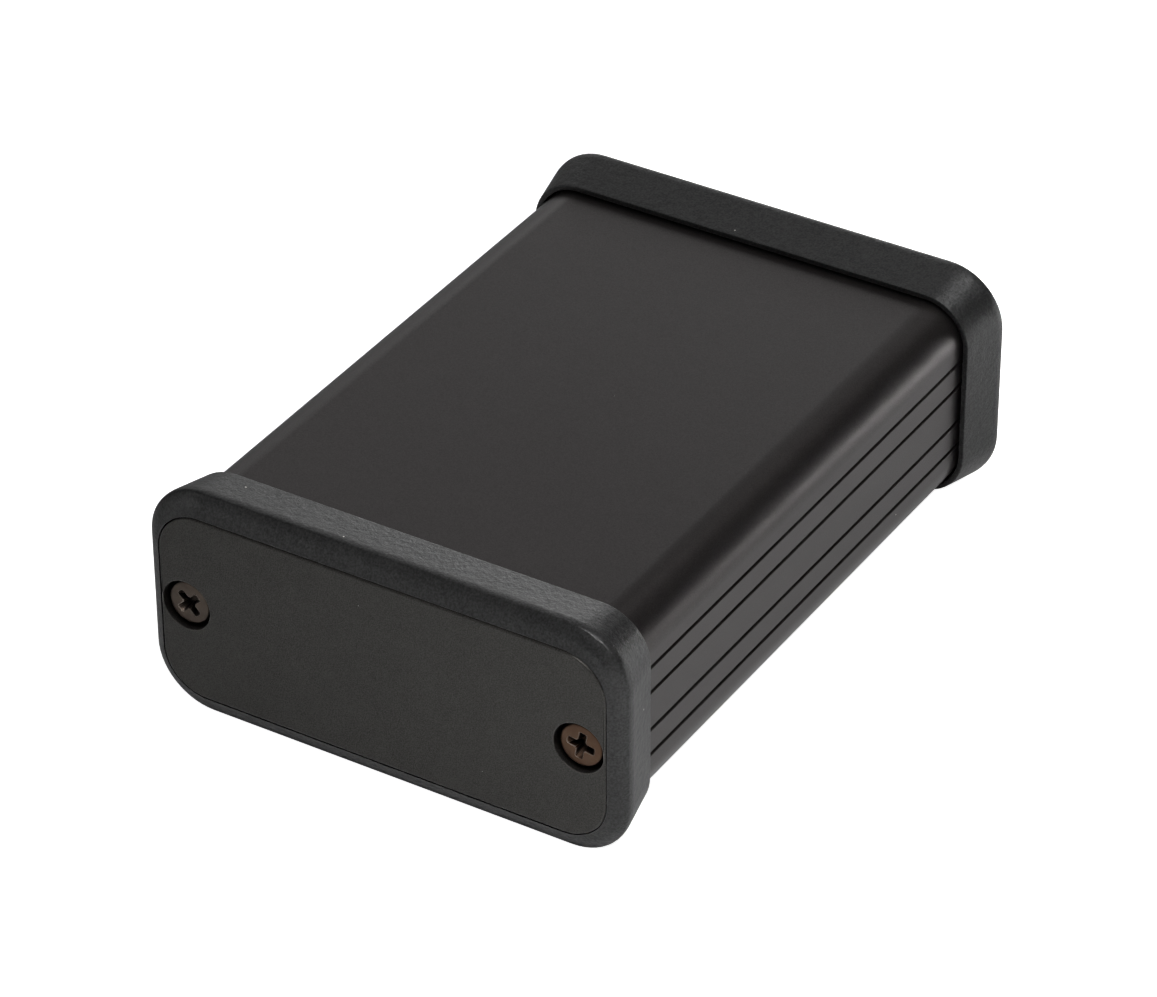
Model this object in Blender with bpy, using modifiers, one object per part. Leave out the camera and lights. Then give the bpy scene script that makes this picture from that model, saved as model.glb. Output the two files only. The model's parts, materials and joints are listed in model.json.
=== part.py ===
"""A pocket logic analyzer in an extruded aluminium case.

Metres, +Z up. The origin is on the resting surface, under the middle of the case. The case
runs along Y: its blank end faces -Y and its connector end faces +Y. Every assembly hangs on
an empty, and its pieces are placed from that empty.
"""

import math

import bmesh
import bpy
from mathutils import Matrix

MM = 0.001

# Gaps between pieces
FIT_GAP = 0.3 * MM
PANEL_GAP = 0.25 * MM
SOLDER_GAP = 0.1 * MM

# Extruded case
CASE_WIDTH = 54.0 * MM
CASE_HEIGHT = 23.7 * MM
CASE_LENGTH = 75.0 * MM
CASE_RADIUS = 4.8 * MM
CASE_WALL = 1.5 * MM
CASE_INNER_RADIUS = 2.4 * MM
GROOVE_WIDTH = 0.45 * MM
GROOVE_DEPTH = 0.45 * MM
GROOVE_HEIGHTS = (2.35 * MM, 5.47 * MM)
RIB_DEPTH = 1.8 * MM
RIB_THICKNESS = 1.0 * MM
BOSS_WALL = 1.35 * MM
BOSS_SLOT = 1.6 * MM

# Moulded bezels, measured from the end of the extrusion
BEZEL_COVER = 3.5 * MM
BEZEL_BACK_PROUD = 0.9 * MM
BEZEL_PROUD = 2.05 * MM
BEZEL_FLARE = 5.35 * MM
BEZEL_LAND = 0.7 * MM
BEZEL_FLANGE = 1.0 * MM
FLANGE_WINDOW_END = 6.6 * MM
FLANGE_WINDOW_SIDE = 3.9 * MM
FLANGE_WINDOW_RADIUS = 2.0 * MM

# End panels
PANEL_WIDTH_OVER_CASE = 0.2 * MM
PANEL_HEIGHT_UNDER_CASE = 1.1 * MM
PANEL_RADIUS = 5.0 * MM
PANEL_THICKNESS = 2.5 * MM
PANEL_PROUD = 0.2 * MM
PANEL_CHAMFER = 0.15 * MM

# Case screws
SCREW_INSET = 3.05 * MM
SCREW_DIAMETER = 2.9 * MM
SCREW_HEAD_DIAMETER = 5.15 * MM
SCREW_HEAD_THICKNESS = 1.1 * MM
SCREW_LENGTH = 9.5 * MM
SCREW_POINT = 1.2 * MM
SCREW_SUNK = 0.5 * MM
HEAD_CLEARANCE = 0.375 * MM
CROSS_SPAN = 3.0 * MM
CROSS_WIDTH = 0.75 * MM
CROSS_DEPTH = 1.6 * MM

# Circuit board, held in the lowest guide slot
BOARD_THICKNESS = 1.6 * MM
BOARD_LENGTH = 72.0 * MM
BOARD_SETBACK = 0.5 * MM
BOARD_UNDERSIDE_SPACE = 3.8 * MM
BOARD_CORNER = 1.0 * MM

# USB socket, a square type B with an open underside
USB_X = -13.5 * MM
USB_WIDTH = 12.0 * MM
USB_HEIGHT = 10.9 * MM
USB_DEPTH = 16.0 * MM
USB_SHEET = 0.5 * MM
USB_MOUTH_WIDTH = 8.5 * MM
USB_MOUTH_HEIGHT = 7.8 * MM
USB_MOUTH_CHAMFER = 1.6 * MM
USB_MOUTH_DEPTH = 9.5 * MM
USB_TONGUE_WIDTH = 5.6 * MM
USB_TONGUE_HEIGHT = 3.2 * MM
USB_RECESSED = 0.3 * MM

# Probe header, two rows of five pins in a keyed shroud
HEADER_X = 8.55 * MM
HEADER_COLUMNS = 5
PIN_PITCH = 2.54 * MM
PIN_WIDTH = 0.64 * MM
SHROUD_END = 5.07 * MM
SHROUD_HEIGHT = 8.9 * MM
SHROUD_DEPTH = 9.0 * MM
SHROUD_WALL = 1.2 * MM
SHROUD_CAVITY = 6.5 * MM
SHROUD_KEY = 4.5 * MM
PIN_RECESSED = 1.2 * MM
PIN_BENDS = (2.0 * MM, 4.54 * MM)
PIN_TAIL = 1.4 * MM

# Status lights in a stacked holder
LIGHT_X = -4.55 * MM
LIGHT_DIAMETER = 2.9 * MM
LIGHT_HEIGHTS = (2.4 * MM, 7.0 * MM)
LIGHT_HOLDER_WIDTH = 4.2 * MM
LIGHT_HOLDER_HEIGHT = 9.2 * MM
LIGHT_HOLDER_DEPTH = 5.0 * MM
LIGHT_SETBACK = 1.2 * MM
LIGHT_SEAT_DEPTH = 2.5 * MM
LIGHT_RECESSED = 0.2 * MM

# Pieces soldered flat on the board: place across, distance from the connector end, and size
CHIPS = {
    "logic_array_chip": ((5.0, 34.5), (14.0, 14.0, 1.4)),
    "memory_chip": ((3.0, 53.5), (22.2, 10.2, 1.0)),
    "usb_controller_chip": ((-13.5, 22.5), (8.0, 8.0, 0.9)),
    "input_buffer_left": ((2.6, 18.8), (7.8, 4.4, 1.0)),
    "input_buffer_right": ((14.0, 18.8), (7.8, 4.4, 1.0)),
    "settings_memory_chip": ((18.2, 46.0), (4.9, 3.9, 1.5)),
    "voltage_regulator_io": ((-17.5, 44.5), (6.5, 3.5, 1.6)),
    "voltage_regulator_core": ((-17.5, 52.5), (6.5, 3.5, 1.6)),
    "clock_oscillator": ((18.0, 32.5), (5.0, 7.0, 1.5)),
    "resettable_fuse": ((-21.0, 18.5), (3.2, 4.5, 0.9)),
    "tantalum_capacitor_left": ((9.5, 65.0), (3.5, 6.0, 2.5)),
    "tantalum_capacitor_right": ((15.5, 65.0), (3.5, 6.0, 2.5)),
    "resistor_array_1": ((-5.2, 18.8), (1.6, 3.2, 0.55)),
    "resistor_array_2": ((8.3, 18.8), (1.6, 3.2, 0.55)),
    "resistor_array_3": ((19.9, 18.8), (1.6, 3.2, 0.55)),
}
CHIP_EDGE = 0.15 * MM
CRYSTAL_PLACE = (-14.5 * MM, 33.5 * MM)
CRYSTAL_SIZE = (11.4 * MM, 4.7 * MM, 3.5 * MM)
INDUCTOR_PLACE = (-17.0 * MM, 62.5 * MM)
INDUCTOR_RADIUS = 3.4 * MM
INDUCTOR_HEIGHT = 3.0 * MM
CAPACITOR_PLACES = {"bulk_capacitor_left": -6.5 * MM, "bulk_capacitor_right": 1.5 * MM}
CAPACITOR_FROM_END = 65.5 * MM
CAPACITOR_RADIUS = 2.5 * MM
CAPACITOR_HEIGHT = 5.6 * MM
CAPACITOR_BASE = 1.0 * MM

# Finishes: colour, roughness, metallic
FINISHES = {
    "anodised_black": ((0.020, 0.020, 0.021), 0.42, 0.6),
    "moulded_black": ((0.022, 0.023, 0.024), 0.55, 0.0),
    "panel_black": ((0.030, 0.032, 0.032), 0.50, 0.0),
    "bronzed_steel": ((0.16, 0.11, 0.08), 0.40, 0.9),
    "board_green": ((0.012, 0.085, 0.040), 0.35, 0.0),
    "tinned_steel": ((0.62, 0.62, 0.60), 0.30, 1.0),
    "socket_white": ((0.70, 0.70, 0.66), 0.45, 0.0),
    "shroud_black": ((0.025, 0.025, 0.026), 0.50, 0.0),
    "pin_gold": ((0.75, 0.55, 0.22), 0.25, 1.0),
    "chip_black": ((0.030, 0.030, 0.032), 0.55, 0.0),
    "can_aluminium": ((0.70, 0.70, 0.70), 0.30, 1.0),
    "ferrite_grey": ((0.06, 0.06, 0.065), 0.60, 0.0),
    "capacitor_yellow": ((0.55, 0.30, 0.05), 0.50, 0.0),
    "lens_green": ((0.10, 0.60, 0.12), 0.15, 0.0),
    "lens_amber": ((0.80, 0.40, 0.05), 0.15, 0.0),
}

# Segments in round shapes
CORNER_STEPS = 6
ROUND_STEPS = 32
BOSS_STEPS = 12
PIN_HOLE_STEPS = 12

# Worked out from the sizes above
INNER_WIDTH = CASE_WIDTH - 2 * CASE_WALL
INNER_HEIGHT = CASE_HEIGHT - 2 * CASE_WALL
SCREW_X = CASE_WIDTH / 2 - SCREW_INSET
SCREW_HOLE_RADIUS = SCREW_DIAMETER / 2 + FIT_GAP
PANEL_BACK = FIT_GAP + BEZEL_FLANGE + FIT_GAP
PANEL_FRONT = PANEL_BACK + PANEL_THICKNESS
PANEL_WIDTH = CASE_WIDTH + PANEL_WIDTH_OVER_CASE
PANEL_HEIGHT = CASE_HEIGHT - PANEL_HEIGHT_UNDER_CASE
BOARD_WIDTH = INNER_WIDTH - 2 * FIT_GAP
BOARD_TOP = -INNER_HEIGHT / 2 + BOARD_UNDERSIDE_SPACE + BOARD_THICKNESS
AXIS_HEIGHT = CASE_HEIGHT / 2 + BEZEL_PROUD
HEADER_LENGTH = (HEADER_COLUMNS - 1) * PIN_PITCH + 2 * SHROUD_END
OVERHANG = PANEL_FRONT + BOARD_SETBACK


def clear_scene():
    """Removes every object of the scene."""
    for thing in list(bpy.data.objects):
        bpy.data.objects.remove(thing, do_unlink=True)


def new_collection(name):
    """A collection linked to the scene."""
    made = bpy.data.collections.new(name)
    bpy.context.scene.collection.children.link(made)
    return made


def finish(name, label):
    """A Principled material for one piece, in one of the finishes above."""
    colour, roughness, metallic = FINISHES[label]
    made = bpy.data.materials.new(name + "_" + label)
    made.use_nodes = True
    shader = made.node_tree.nodes["Principled BSDF"]
    shader.inputs["Base Color"].default_value = (*colour, 1.0)
    shader.inputs["Roughness"].default_value = roughness
    shader.inputs["Metallic"].default_value = metallic
    return made


def empty(name, parent=None, place=(0, 0, 0), turn=0.0):
    """An empty that carries an assembly, turned about Z."""
    made = bpy.data.objects.new(name, None)
    made.parent = parent
    made.location = place
    made.rotation_euler = (0, 0, turn)
    PARTS.objects.link(made)
    return made


def piece(name, mesh, label, parent, place=(0, 0, 0), turn=(0, 0, 0)):
    """A node of the object, in its own material."""
    mesh.materials.append(finish(name, label))
    made = bpy.data.objects.new(name, mesh)
    made.parent = parent
    made.location = place
    made.rotation_euler = turn
    PARTS.objects.link(made)
    return made


def cutter(mesh, parent, place=(0, 0, 0), turn=(0, 0, 0)):
    """A helper that Booleans use and a render leaves out."""
    made = bpy.data.objects.new("cutter", mesh)
    made.parent = parent
    made.location = place
    made.rotation_euler = turn
    made.hide_render = True
    made.display_type = "WIRE"
    CUTTERS.objects.link(made)
    return made


def combine(target, tools, operation="DIFFERENCE"):
    """Cuts helpers out of a piece, or joins them to it."""
    for tool in tools:
        change = target.modifiers.new(operation.lower(), "BOOLEAN")
        change.operation = operation
        change.solver = "EXACT"
        change.object = tool


def mesh_from(bm, name):
    """The bmesh as a mesh whose faces all point out."""
    bmesh.ops.recalc_face_normals(bm, faces=bm.faces)
    mesh = bpy.data.meshes.new(name)
    bm.to_mesh(mesh)
    bm.free()
    return mesh


def box_mesh(low, high, edge=0.0):
    """A box between two corners, with its edges rounded by edge."""
    size = [b - a for a, b in zip(low, high)]
    middle = [(a + b) / 2 for a, b in zip(low, high)]
    bm = bmesh.new()
    bmesh.ops.create_cube(bm, size=1, matrix=Matrix.Translation(middle) @ Matrix.Diagonal((*size, 1)))
    if edge:
        bmesh.ops.bevel(bm, geom=bm.edges[:], offset=edge, segments=1, affect="EDGES")
    return mesh_from(bm, "box")


def rod_mesh(radius, start, end, steps=None):
    """A cylinder along Y between two distances."""
    bm = bmesh.new()
    turn = Matrix.Rotation(math.pi / 2, 4, "X")
    bmesh.ops.create_cone(
        bm,
        cap_ends=True,
        segments=steps or ROUND_STEPS,
        radius1=radius,
        radius2=radius,
        depth=end - start,
    )
    bmesh.ops.transform(bm, matrix=Matrix.Translation((0, (start + end) / 2, 0)) @ turn, verts=bm.verts)
    return mesh_from(bm, "rod")


def arc(centre, radius, first, last, steps):
    """Points on an arc, angles in radians."""
    return [
        (
            centre[0] + radius * math.cos(first + (last - first) * i / steps),
            centre[1] + radius * math.sin(first + (last - first) * i / steps),
        )
        for i in range(steps + 1)
    ]


def rounded_rectangle(width, height, radius):
    """The outline of a rectangle with round corners, counter-clockwise from its lower right corner."""
    points = []
    corners = ((1, -1), (1, 1), (-1, 1), (-1, -1))
    for quarter, (sx, sy) in enumerate(corners):
        centre = (sx * (width / 2 - radius), sy * (height / 2 - radius))
        start = (quarter - 1) * math.pi / 2
        points += arc(centre, radius, start, start + math.pi / 2, CORNER_STEPS)
    return points


def outline_mesh(name, outlines, start, end):
    """Flat outlines (x, z), the later ones holes in the first, carried along Y from start to end."""
    curve = bpy.data.curves.new(name, "CURVE")
    curve.dimensions = "2D"
    curve.fill_mode = "BOTH"
    curve.extrude = (end - start) / 2
    for points in outlines:
        spline = curve.splines.new("POLY")
        spline.points.add(len(points) - 1)
        for target, (x, z) in zip(spline.points, points):
            target.co = (x, z, 0, 1)
        spline.use_cyclic_u = True
    holder = bpy.data.objects.new(name, curve)
    bpy.context.scene.collection.objects.link(holder)
    graph = bpy.context.evaluated_depsgraph_get()
    flat = bpy.data.meshes.new_from_object(holder.evaluated_get(graph))
    bpy.data.objects.remove(holder, do_unlink=True)
    bm = bmesh.new()
    bm.from_mesh(flat)
    bmesh.ops.remove_doubles(bm, verts=bm.verts, dist=1e-6)
    upright = Matrix.Translation((0, (start + end) / 2, 0)) @ Matrix.Rotation(math.pi / 2, 4, "X")
    bmesh.ops.transform(bm, matrix=upright, verts=bm.verts)
    return mesh_from(bm, name)


def loft_mesh(name, sections, ring):
    """Skins rounded rectangles (width, height, radius, y). A ring closes on itself, or else its ends are capped."""
    bm = bmesh.new()
    rows = []
    for width, height, radius, y in sections:
        rows.append([bm.verts.new((x, y, z)) for x, z in rounded_rectangle(width, height, radius)])
    pairs = list(zip(rows, rows[1:]))
    if ring:
        pairs.append((rows[-1], rows[0]))
    else:
        bm.faces.new(rows[0])
        bm.faces.new(rows[-1])
    for row, after in pairs:
        for i in range(len(row)):
            j = (i + 1) % len(row)
            bm.faces.new((row[i], row[j], after[j], after[i]))
    return mesh_from(bm, name)


def grow(width, height, radius, by):
    """A rounded rectangle's sizes, moved out all round."""
    return width + 2 * by, height + 2 * by, radius + by


def outer_outline():
    """The case's outside, with the grooves in both of its sides."""
    half = CASE_WIDTH / 2
    floor = half - GROOVE_DEPTH
    wall = []
    for height in sorted([h * s for h in GROOVE_HEIGHTS for s in (-1, 1)]):
        low = height - GROOVE_WIDTH / 2
        high = height + GROOVE_WIDTH / 2
        wall += [(half, low), (floor, low), (floor, high), (half, high)]
    corners = rounded_rectangle(CASE_WIDTH, CASE_HEIGHT, CASE_RADIUS)
    each = CORNER_STEPS + 1
    other_wall = [(-x, z) for x, z in reversed(wall)]
    return corners[:each] + wall + corners[each : 3 * each] + other_wall + corners[3 * each :]


def wall_features():
    """The inner face of the +X wall from bottom to top: guide ribs, and the screw channel at mid height."""
    wall = INNER_WIDTH / 2
    tip = wall - RIB_DEPTH
    slot_low = BOARD_TOP - BOARD_THICKNESS - FIT_GAP
    slot_high = BOARD_TOP + FIT_GAP
    lower = []
    for low, high in ((slot_low - RIB_THICKNESS, slot_low), (slot_high, slot_high + RIB_THICKNESS)):
        lower += [(wall, low), (tip, low), (tip, high), (wall, high)]
    centre = (SCREW_X, 0)
    radius = SCREW_HOLE_RADIUS + BOSS_WALL
    meets = math.asin((wall - SCREW_X) / radius)
    lip = math.asin(BOSS_SLOT / 2 / radius)
    inner_lip = math.asin(BOSS_SLOT / 2 / SCREW_HOLE_RADIUS)
    lower += arc(centre, radius, -math.pi / 2 + meets, -math.pi + lip, BOSS_STEPS)
    lower += arc(centre, SCREW_HOLE_RADIUS, -math.pi + inner_lip, 0, BOSS_STEPS)
    upper = [(x, -z) for x, z in reversed(lower[:-1])]
    return lower + upper


def inner_outline():
    """The case's inside, with its features on both side walls."""
    wall = wall_features()
    corners = rounded_rectangle(INNER_WIDTH, INNER_HEIGHT, CASE_INNER_RADIUS)
    each = CORNER_STEPS + 1
    other_wall = [(-x, z) for x, z in reversed(wall)]
    return corners[:each] + wall + corners[each : 3 * each] + other_wall + corners[3 * each :]


def build_case(parent):
    """The extruded tube that everything else goes into."""
    outlines = (outer_outline(), inner_outline())
    mesh = outline_mesh("case_extrusion", outlines, -CASE_LENGTH / 2, CASE_LENGTH / 2)
    return piece("case_extrusion", mesh, "anodised_black", parent)


def bezel_sections():
    """The bezel's section from its back edge, over the outside and lip, and back through the inside."""
    case = (CASE_WIDTH, CASE_HEIGHT, CASE_RADIUS)
    back = -BEZEL_COVER
    socket = grow(*case, FIT_GAP)
    crest = grow(*case, BEZEL_PROUD)
    pocket = grow(PANEL_WIDTH, PANEL_HEIGHT, PANEL_RADIUS, PANEL_GAP)
    floor = FIT_GAP + BEZEL_FLANGE
    window = (
        CASE_WIDTH - 2 * FLANGE_WINDOW_END,
        CASE_HEIGHT - 2 * FLANGE_WINDOW_SIDE,
        FLANGE_WINDOW_RADIUS,
    )
    return (
        (*socket, back),
        (*grow(*case, BEZEL_BACK_PROUD), back),
        (*crest, back + BEZEL_FLARE),
        (*crest, back + BEZEL_FLARE + BEZEL_LAND),
        (*pocket, PANEL_FRONT - PANEL_PROUD),
        (*pocket, floor),
        (*window, floor),
        (*window, FIT_GAP),
        (*socket, FIT_GAP),
    )


def build_bezel(name, parent):
    """A moulded ring over the end of the case, with a flange that the screws clamp."""
    made = piece(name, loft_mesh(name, bezel_sections(), ring=True), "moulded_black", parent)
    hole = rod_mesh(SCREW_HOLE_RADIUS, -FIT_GAP, PANEL_BACK)
    combine(made, [cutter(hole, parent, (side * SCREW_X, 0, 0)) for side in (-1, 1)])
    return made


def build_panel(name, parent):
    """A moulded end plate with a sunk hole for each screw."""
    full = (PANEL_WIDTH, PANEL_HEIGHT, PANEL_RADIUS)
    sections = (
        (*full, PANEL_BACK),
        (*full, PANEL_FRONT - PANEL_CHAMFER),
        (*grow(*full, -PANEL_CHAMFER), PANEL_FRONT),
    )
    made = piece(name, loft_mesh(name, sections, ring=False), "panel_black", parent)
    seat = PANEL_FRONT - SCREW_SUNK - SCREW_HEAD_THICKNESS - FIT_GAP
    for side in (-1, 1):
        place = (side * SCREW_X, 0, 0)
        through = rod_mesh(SCREW_HOLE_RADIUS, 0, PANEL_FRONT + FIT_GAP)
        sunk = rod_mesh(SCREW_HEAD_DIAMETER / 2 + HEAD_CLEARANCE, seat, PANEL_FRONT + FIT_GAP)
        combine(made, [cutter(through, parent, place), cutter(sunk, parent, place)])
    return made


def screw_profile():
    """A case screw's half section (radius, distance along the axis) from its face to its point."""
    head = SCREW_HEAD_DIAMETER / 2
    shank = SCREW_DIAMETER / 2
    edge = SCREW_HEAD_THICKNESS / 6
    under = -SCREW_HEAD_THICKNESS
    end = under - SCREW_LENGTH
    return (
        (0, 0),
        (head - edge, 0),
        (head, -edge),
        (head, under),
        (shank, under),
        (shank, end + SCREW_POINT),
        (shank / 3, end),
        (0, end),
    )


def turned(name, profile, label, parent, place, turn):
    """A piece turned about its own Z from a half section."""
    mesh = bpy.data.meshes.new(name)
    points = [(radius, 0, height) for radius, height in profile]
    mesh.from_pydata(points, [(i, i + 1) for i in range(len(points) - 1)], [])
    made = piece(name, mesh, label, parent, place, turn)
    spin = made.modifiers.new("turn", "SCREW")
    spin.steps = ROUND_STEPS
    spin.render_steps = ROUND_STEPS
    spin.use_merge_vertices = True
    spin.merge_threshold = 1e-6
    return made


def build_screw(name, parent, side, cross_turn):
    """A cross-recess screw, its axis along the case and its face outward."""
    place = (side * SCREW_X, PANEL_FRONT - SCREW_SUNK, 0)
    outward = (-math.pi / 2, 0, 0)
    made = turned(name, screw_profile(), "bronzed_steel", parent, place, outward)
    arms = []
    for quarter in (0, 1):
        low = (-CROSS_SPAN / 2, -CROSS_WIDTH / 2, -CROSS_DEPTH)
        high = (CROSS_SPAN / 2, CROSS_WIDTH / 2, FIT_GAP)
        arm = cutter(box_mesh(low, high), made)
        arm.rotation_euler = (0, 0, cross_turn + quarter * math.pi / 2)
        arms.append(arm)
    combine(made, arms)
    return made


def build_board(parent):
    """The circuit board, with a hole for each header pin, and its top face at the parent's height."""
    flat = outline_mesh(
        "circuit_board",
        [rounded_rectangle(BOARD_WIDTH, BOARD_LENGTH, BOARD_CORNER)],
        -BOARD_THICKNESS / 2,
        BOARD_THICKNESS / 2,
    )
    flat.transform(Matrix.Rotation(math.pi / 2, 4, "X"))
    flat.transform(Matrix.Translation((0, -BOARD_LENGTH / 2, -BOARD_THICKNESS / 2)))
    made = piece("circuit_board", flat, "board_green", parent)
    for x, y in pin_feet():
        drill = rod_mesh(PIN_WIDTH / 2 + FIT_GAP, -BOARD_THICKNESS * 2, BOARD_THICKNESS, PIN_HOLE_STEPS)
        drill.transform(Matrix.Rotation(math.pi / 2, 4, "X"))
        combine(made, [cutter(drill, parent, (x, y, 0))])
    return made


def shroud_back():
    """Distance of the shroud's back face from the board's connector edge."""
    return OVERHANG - USB_RECESSED - SHROUD_DEPTH


def pin_columns():
    """Places of the pin columns across the board."""
    first = HEADER_X - (HEADER_COLUMNS - 1) * PIN_PITCH / 2
    return [first + i * PIN_PITCH for i in range(HEADER_COLUMNS)]


def pin_feet():
    """Where the header's pins go through the board, lower row first."""
    return [(x, shroud_back() - bend) for bend in PIN_BENDS for x in pin_columns()]


def pin_heights():
    """Heights of the lower and upper pin row over the board."""
    middle = SOLDER_GAP + SHROUD_HEIGHT / 2
    return (middle - PIN_PITCH / 2, middle + PIN_PITCH / 2)


def build_shroud(parent):
    """The header's moulded shroud, open outward, with a key slot in its top wall."""
    back = shroud_back()
    front = back + SHROUD_DEPTH
    low = SOLDER_GAP
    high = low + SHROUD_HEIGHT
    middle = (low + high) / 2
    left = HEADER_X - HEADER_LENGTH / 2
    right = HEADER_X + HEADER_LENGTH / 2
    body = box_mesh((left, back, low), (right, front, high))
    made = piece("probe_header_shroud", body, "shroud_black", parent)
    floor = back + SHROUD_DEPTH - SHROUD_CAVITY
    cavity = box_mesh(
        (left + SHROUD_WALL, floor, low + SHROUD_WALL),
        (right - SHROUD_WALL, front + FIT_GAP, high - SHROUD_WALL),
    )
    key = box_mesh(
        (HEADER_X - SHROUD_KEY / 2, floor, middle),
        (HEADER_X + SHROUD_KEY / 2, front + FIT_GAP, high + FIT_GAP),
    )
    tools = [cutter(cavity, parent), cutter(key, parent)]
    for x in pin_columns():
        for z in pin_heights():
            hole = rod_mesh(PIN_WIDTH / 2 + FIT_GAP, back - FIT_GAP, floor + FIT_GAP, PIN_HOLE_STEPS)
            tools.append(cutter(hole, parent, (x, 0, z)))
    combine(made, tools)
    return made


def wire_mesh(points, thickness):
    """A square wire through points, with flat ends."""
    curve = bpy.data.curves.new("wire", "CURVE")
    curve.dimensions = "3D"
    curve.bevel_depth = thickness / 2
    curve.bevel_resolution = 1
    curve.use_fill_caps = True
    spline = curve.splines.new("POLY")
    spline.points.add(len(points) - 1)
    for target, point in zip(spline.points, points):
        target.co = (*point, 1)
    holder = bpy.data.objects.new("wire", curve)
    bpy.context.scene.collection.objects.link(holder)
    graph = bpy.context.evaluated_depsgraph_get()
    mesh = bpy.data.meshes.new_from_object(holder.evaluated_get(graph))
    bpy.data.objects.remove(holder, do_unlink=True)
    bm = bmesh.new()
    bm.from_mesh(mesh)
    bmesh.ops.remove_doubles(bm, verts=bm.verts, dist=1e-6)
    return mesh_from(bm, "wire")


def build_pins(parent):
    """Ten bent pins, from inside the shroud back and down through the board."""
    front = shroud_back() + SHROUD_DEPTH - PIN_RECESSED
    number = 0
    for height, bend in zip(pin_heights(), PIN_BENDS):
        back = shroud_back() - bend
        for x in pin_columns():
            number += 1
            tail = -BOARD_THICKNESS - PIN_TAIL
            route = ((x, front, height), (x, back, height), (x, back, tail))
            name = f"header_pin_{number:02d}"
            piece(name, wire_mesh(route, PIN_WIDTH), "pin_gold", parent)


def usb_mouth(start, end, grown=0.0):
    """The plug's opening: a rectangle whose upper corners are cut off."""
    half = USB_MOUTH_WIDTH / 2 + grown
    low = SOLDER_GAP + (USB_HEIGHT - USB_MOUTH_HEIGHT) / 2 - grown
    high = low + USB_MOUTH_HEIGHT + 2 * grown
    cut = USB_MOUTH_CHAMFER
    points = [
        (USB_X - half, low),
        (USB_X + half, low),
        (USB_X + half, high - cut),
        (USB_X + half - cut, high),
        (USB_X - half + cut, high),
        (USB_X - half, high - cut),
    ]
    return outline_mesh("mouth", [points], start, end)


def build_usb(parent):
    """The USB socket: a folded sheet shell, open below, round a moulded insulator with a tongue."""
    front = OVERHANG - USB_RECESSED
    back = front - USB_DEPTH
    left = USB_X - USB_WIDTH / 2
    right = USB_X + USB_WIDTH / 2
    high = SOLDER_GAP + USB_HEIGHT
    shell = piece(
        "usb_socket_shell",
        box_mesh((left, back, SOLDER_GAP), (right, front, high)),
        "tinned_steel",
        parent,
    )
    hollow = box_mesh(
        (left + USB_SHEET, back + USB_SHEET, -FIT_GAP),
        (right - USB_SHEET, front - USB_SHEET, high - USB_SHEET),
    )
    combine(shell, [cutter(hollow, parent), cutter(usb_mouth(front - 2 * USB_SHEET, front + FIT_GAP), parent)])
    inset = USB_SHEET + FIT_GAP
    block = piece(
        "usb_socket_insulator",
        box_mesh((left + inset, back + inset, SOLDER_GAP + inset), (right - inset, front - inset, high - inset)),
        "socket_white",
        parent,
    )
    depth = front - USB_MOUTH_DEPTH
    combine(block, [cutter(usb_mouth(depth, front + FIT_GAP, FIT_GAP), parent)])
    middle = SOLDER_GAP + USB_HEIGHT / 2
    tongue = box_mesh(
        (USB_X - USB_TONGUE_WIDTH / 2, depth - inset, middle - USB_TONGUE_HEIGHT / 2),
        (USB_X + USB_TONGUE_WIDTH / 2, front - USB_SHEET, middle + USB_TONGUE_HEIGHT / 2),
    )
    combine(block, [cutter(tongue, parent)], "UNION")


def build_lights(parent):
    """Two status lights, one over the other in a holder."""
    front = OVERHANG - LIGHT_RECESSED
    holder_front = -LIGHT_SETBACK
    holder_back = holder_front - LIGHT_HOLDER_DEPTH
    half = LIGHT_HOLDER_WIDTH / 2
    holder = piece(
        "status_light_holder",
        box_mesh(
            (LIGHT_X - half, holder_back, SOLDER_GAP),
            (LIGHT_X + half, holder_front, SOLDER_GAP + LIGHT_HOLDER_HEIGHT),
        ),
        "shroud_black",
        parent,
    )
    radius = LIGHT_DIAMETER / 2
    names = (("status_light_activity", "lens_amber"), ("status_light_power", "lens_green"))
    for height, (name, label) in zip(LIGHT_HEIGHTS, names):
        place = (LIGHT_X, holder_front - LIGHT_SEAT_DEPTH + FIT_GAP, height)
        seat = rod_mesh(radius + FIT_GAP, -FIT_GAP, LIGHT_SEAT_DEPTH + FIT_GAP)
        combine(holder, [cutter(seat, parent, place)])
        length = front - place[1]
        dome = [(radius * math.cos(a), length - radius + radius * math.sin(a)) for a in dome_angles()]
        profile = [(0, length)] + dome + [(0, 0)]
        turned(name, profile, label, parent, place, (-math.pi / 2, 0, 0))


def dome_angles():
    """Angles down a lens's dome, from near its tip to its foot, and the foot of its straight side."""
    return [math.pi / 2 * i / 6 for i in range(5, -1, -1)]


def build_rear_panel(parent):
    """The connector end's panel, with a window for each connector and a hole for each light."""
    made = build_panel("rear_panel", parent)
    deck = BOARD_TOP + SOLDER_GAP
    start = 0
    end = PANEL_FRONT + FIT_GAP
    windows = (
        (USB_X, USB_WIDTH, USB_HEIGHT),
        (HEADER_X, HEADER_LENGTH, SHROUD_HEIGHT),
    )
    for x, width, height in windows:
        low = (x - width / 2 - FIT_GAP, start, deck - FIT_GAP)
        high = (x + width / 2 + FIT_GAP, end, deck + height + FIT_GAP)
        combine(made, [cutter(box_mesh(low, high), parent)])
    for height in LIGHT_HEIGHTS:
        hole = rod_mesh(LIGHT_DIAMETER / 2 + FIT_GAP, start, end)
        combine(made, [cutter(hole, parent, (LIGHT_X, 0, BOARD_TOP + height))])
    return made


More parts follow.
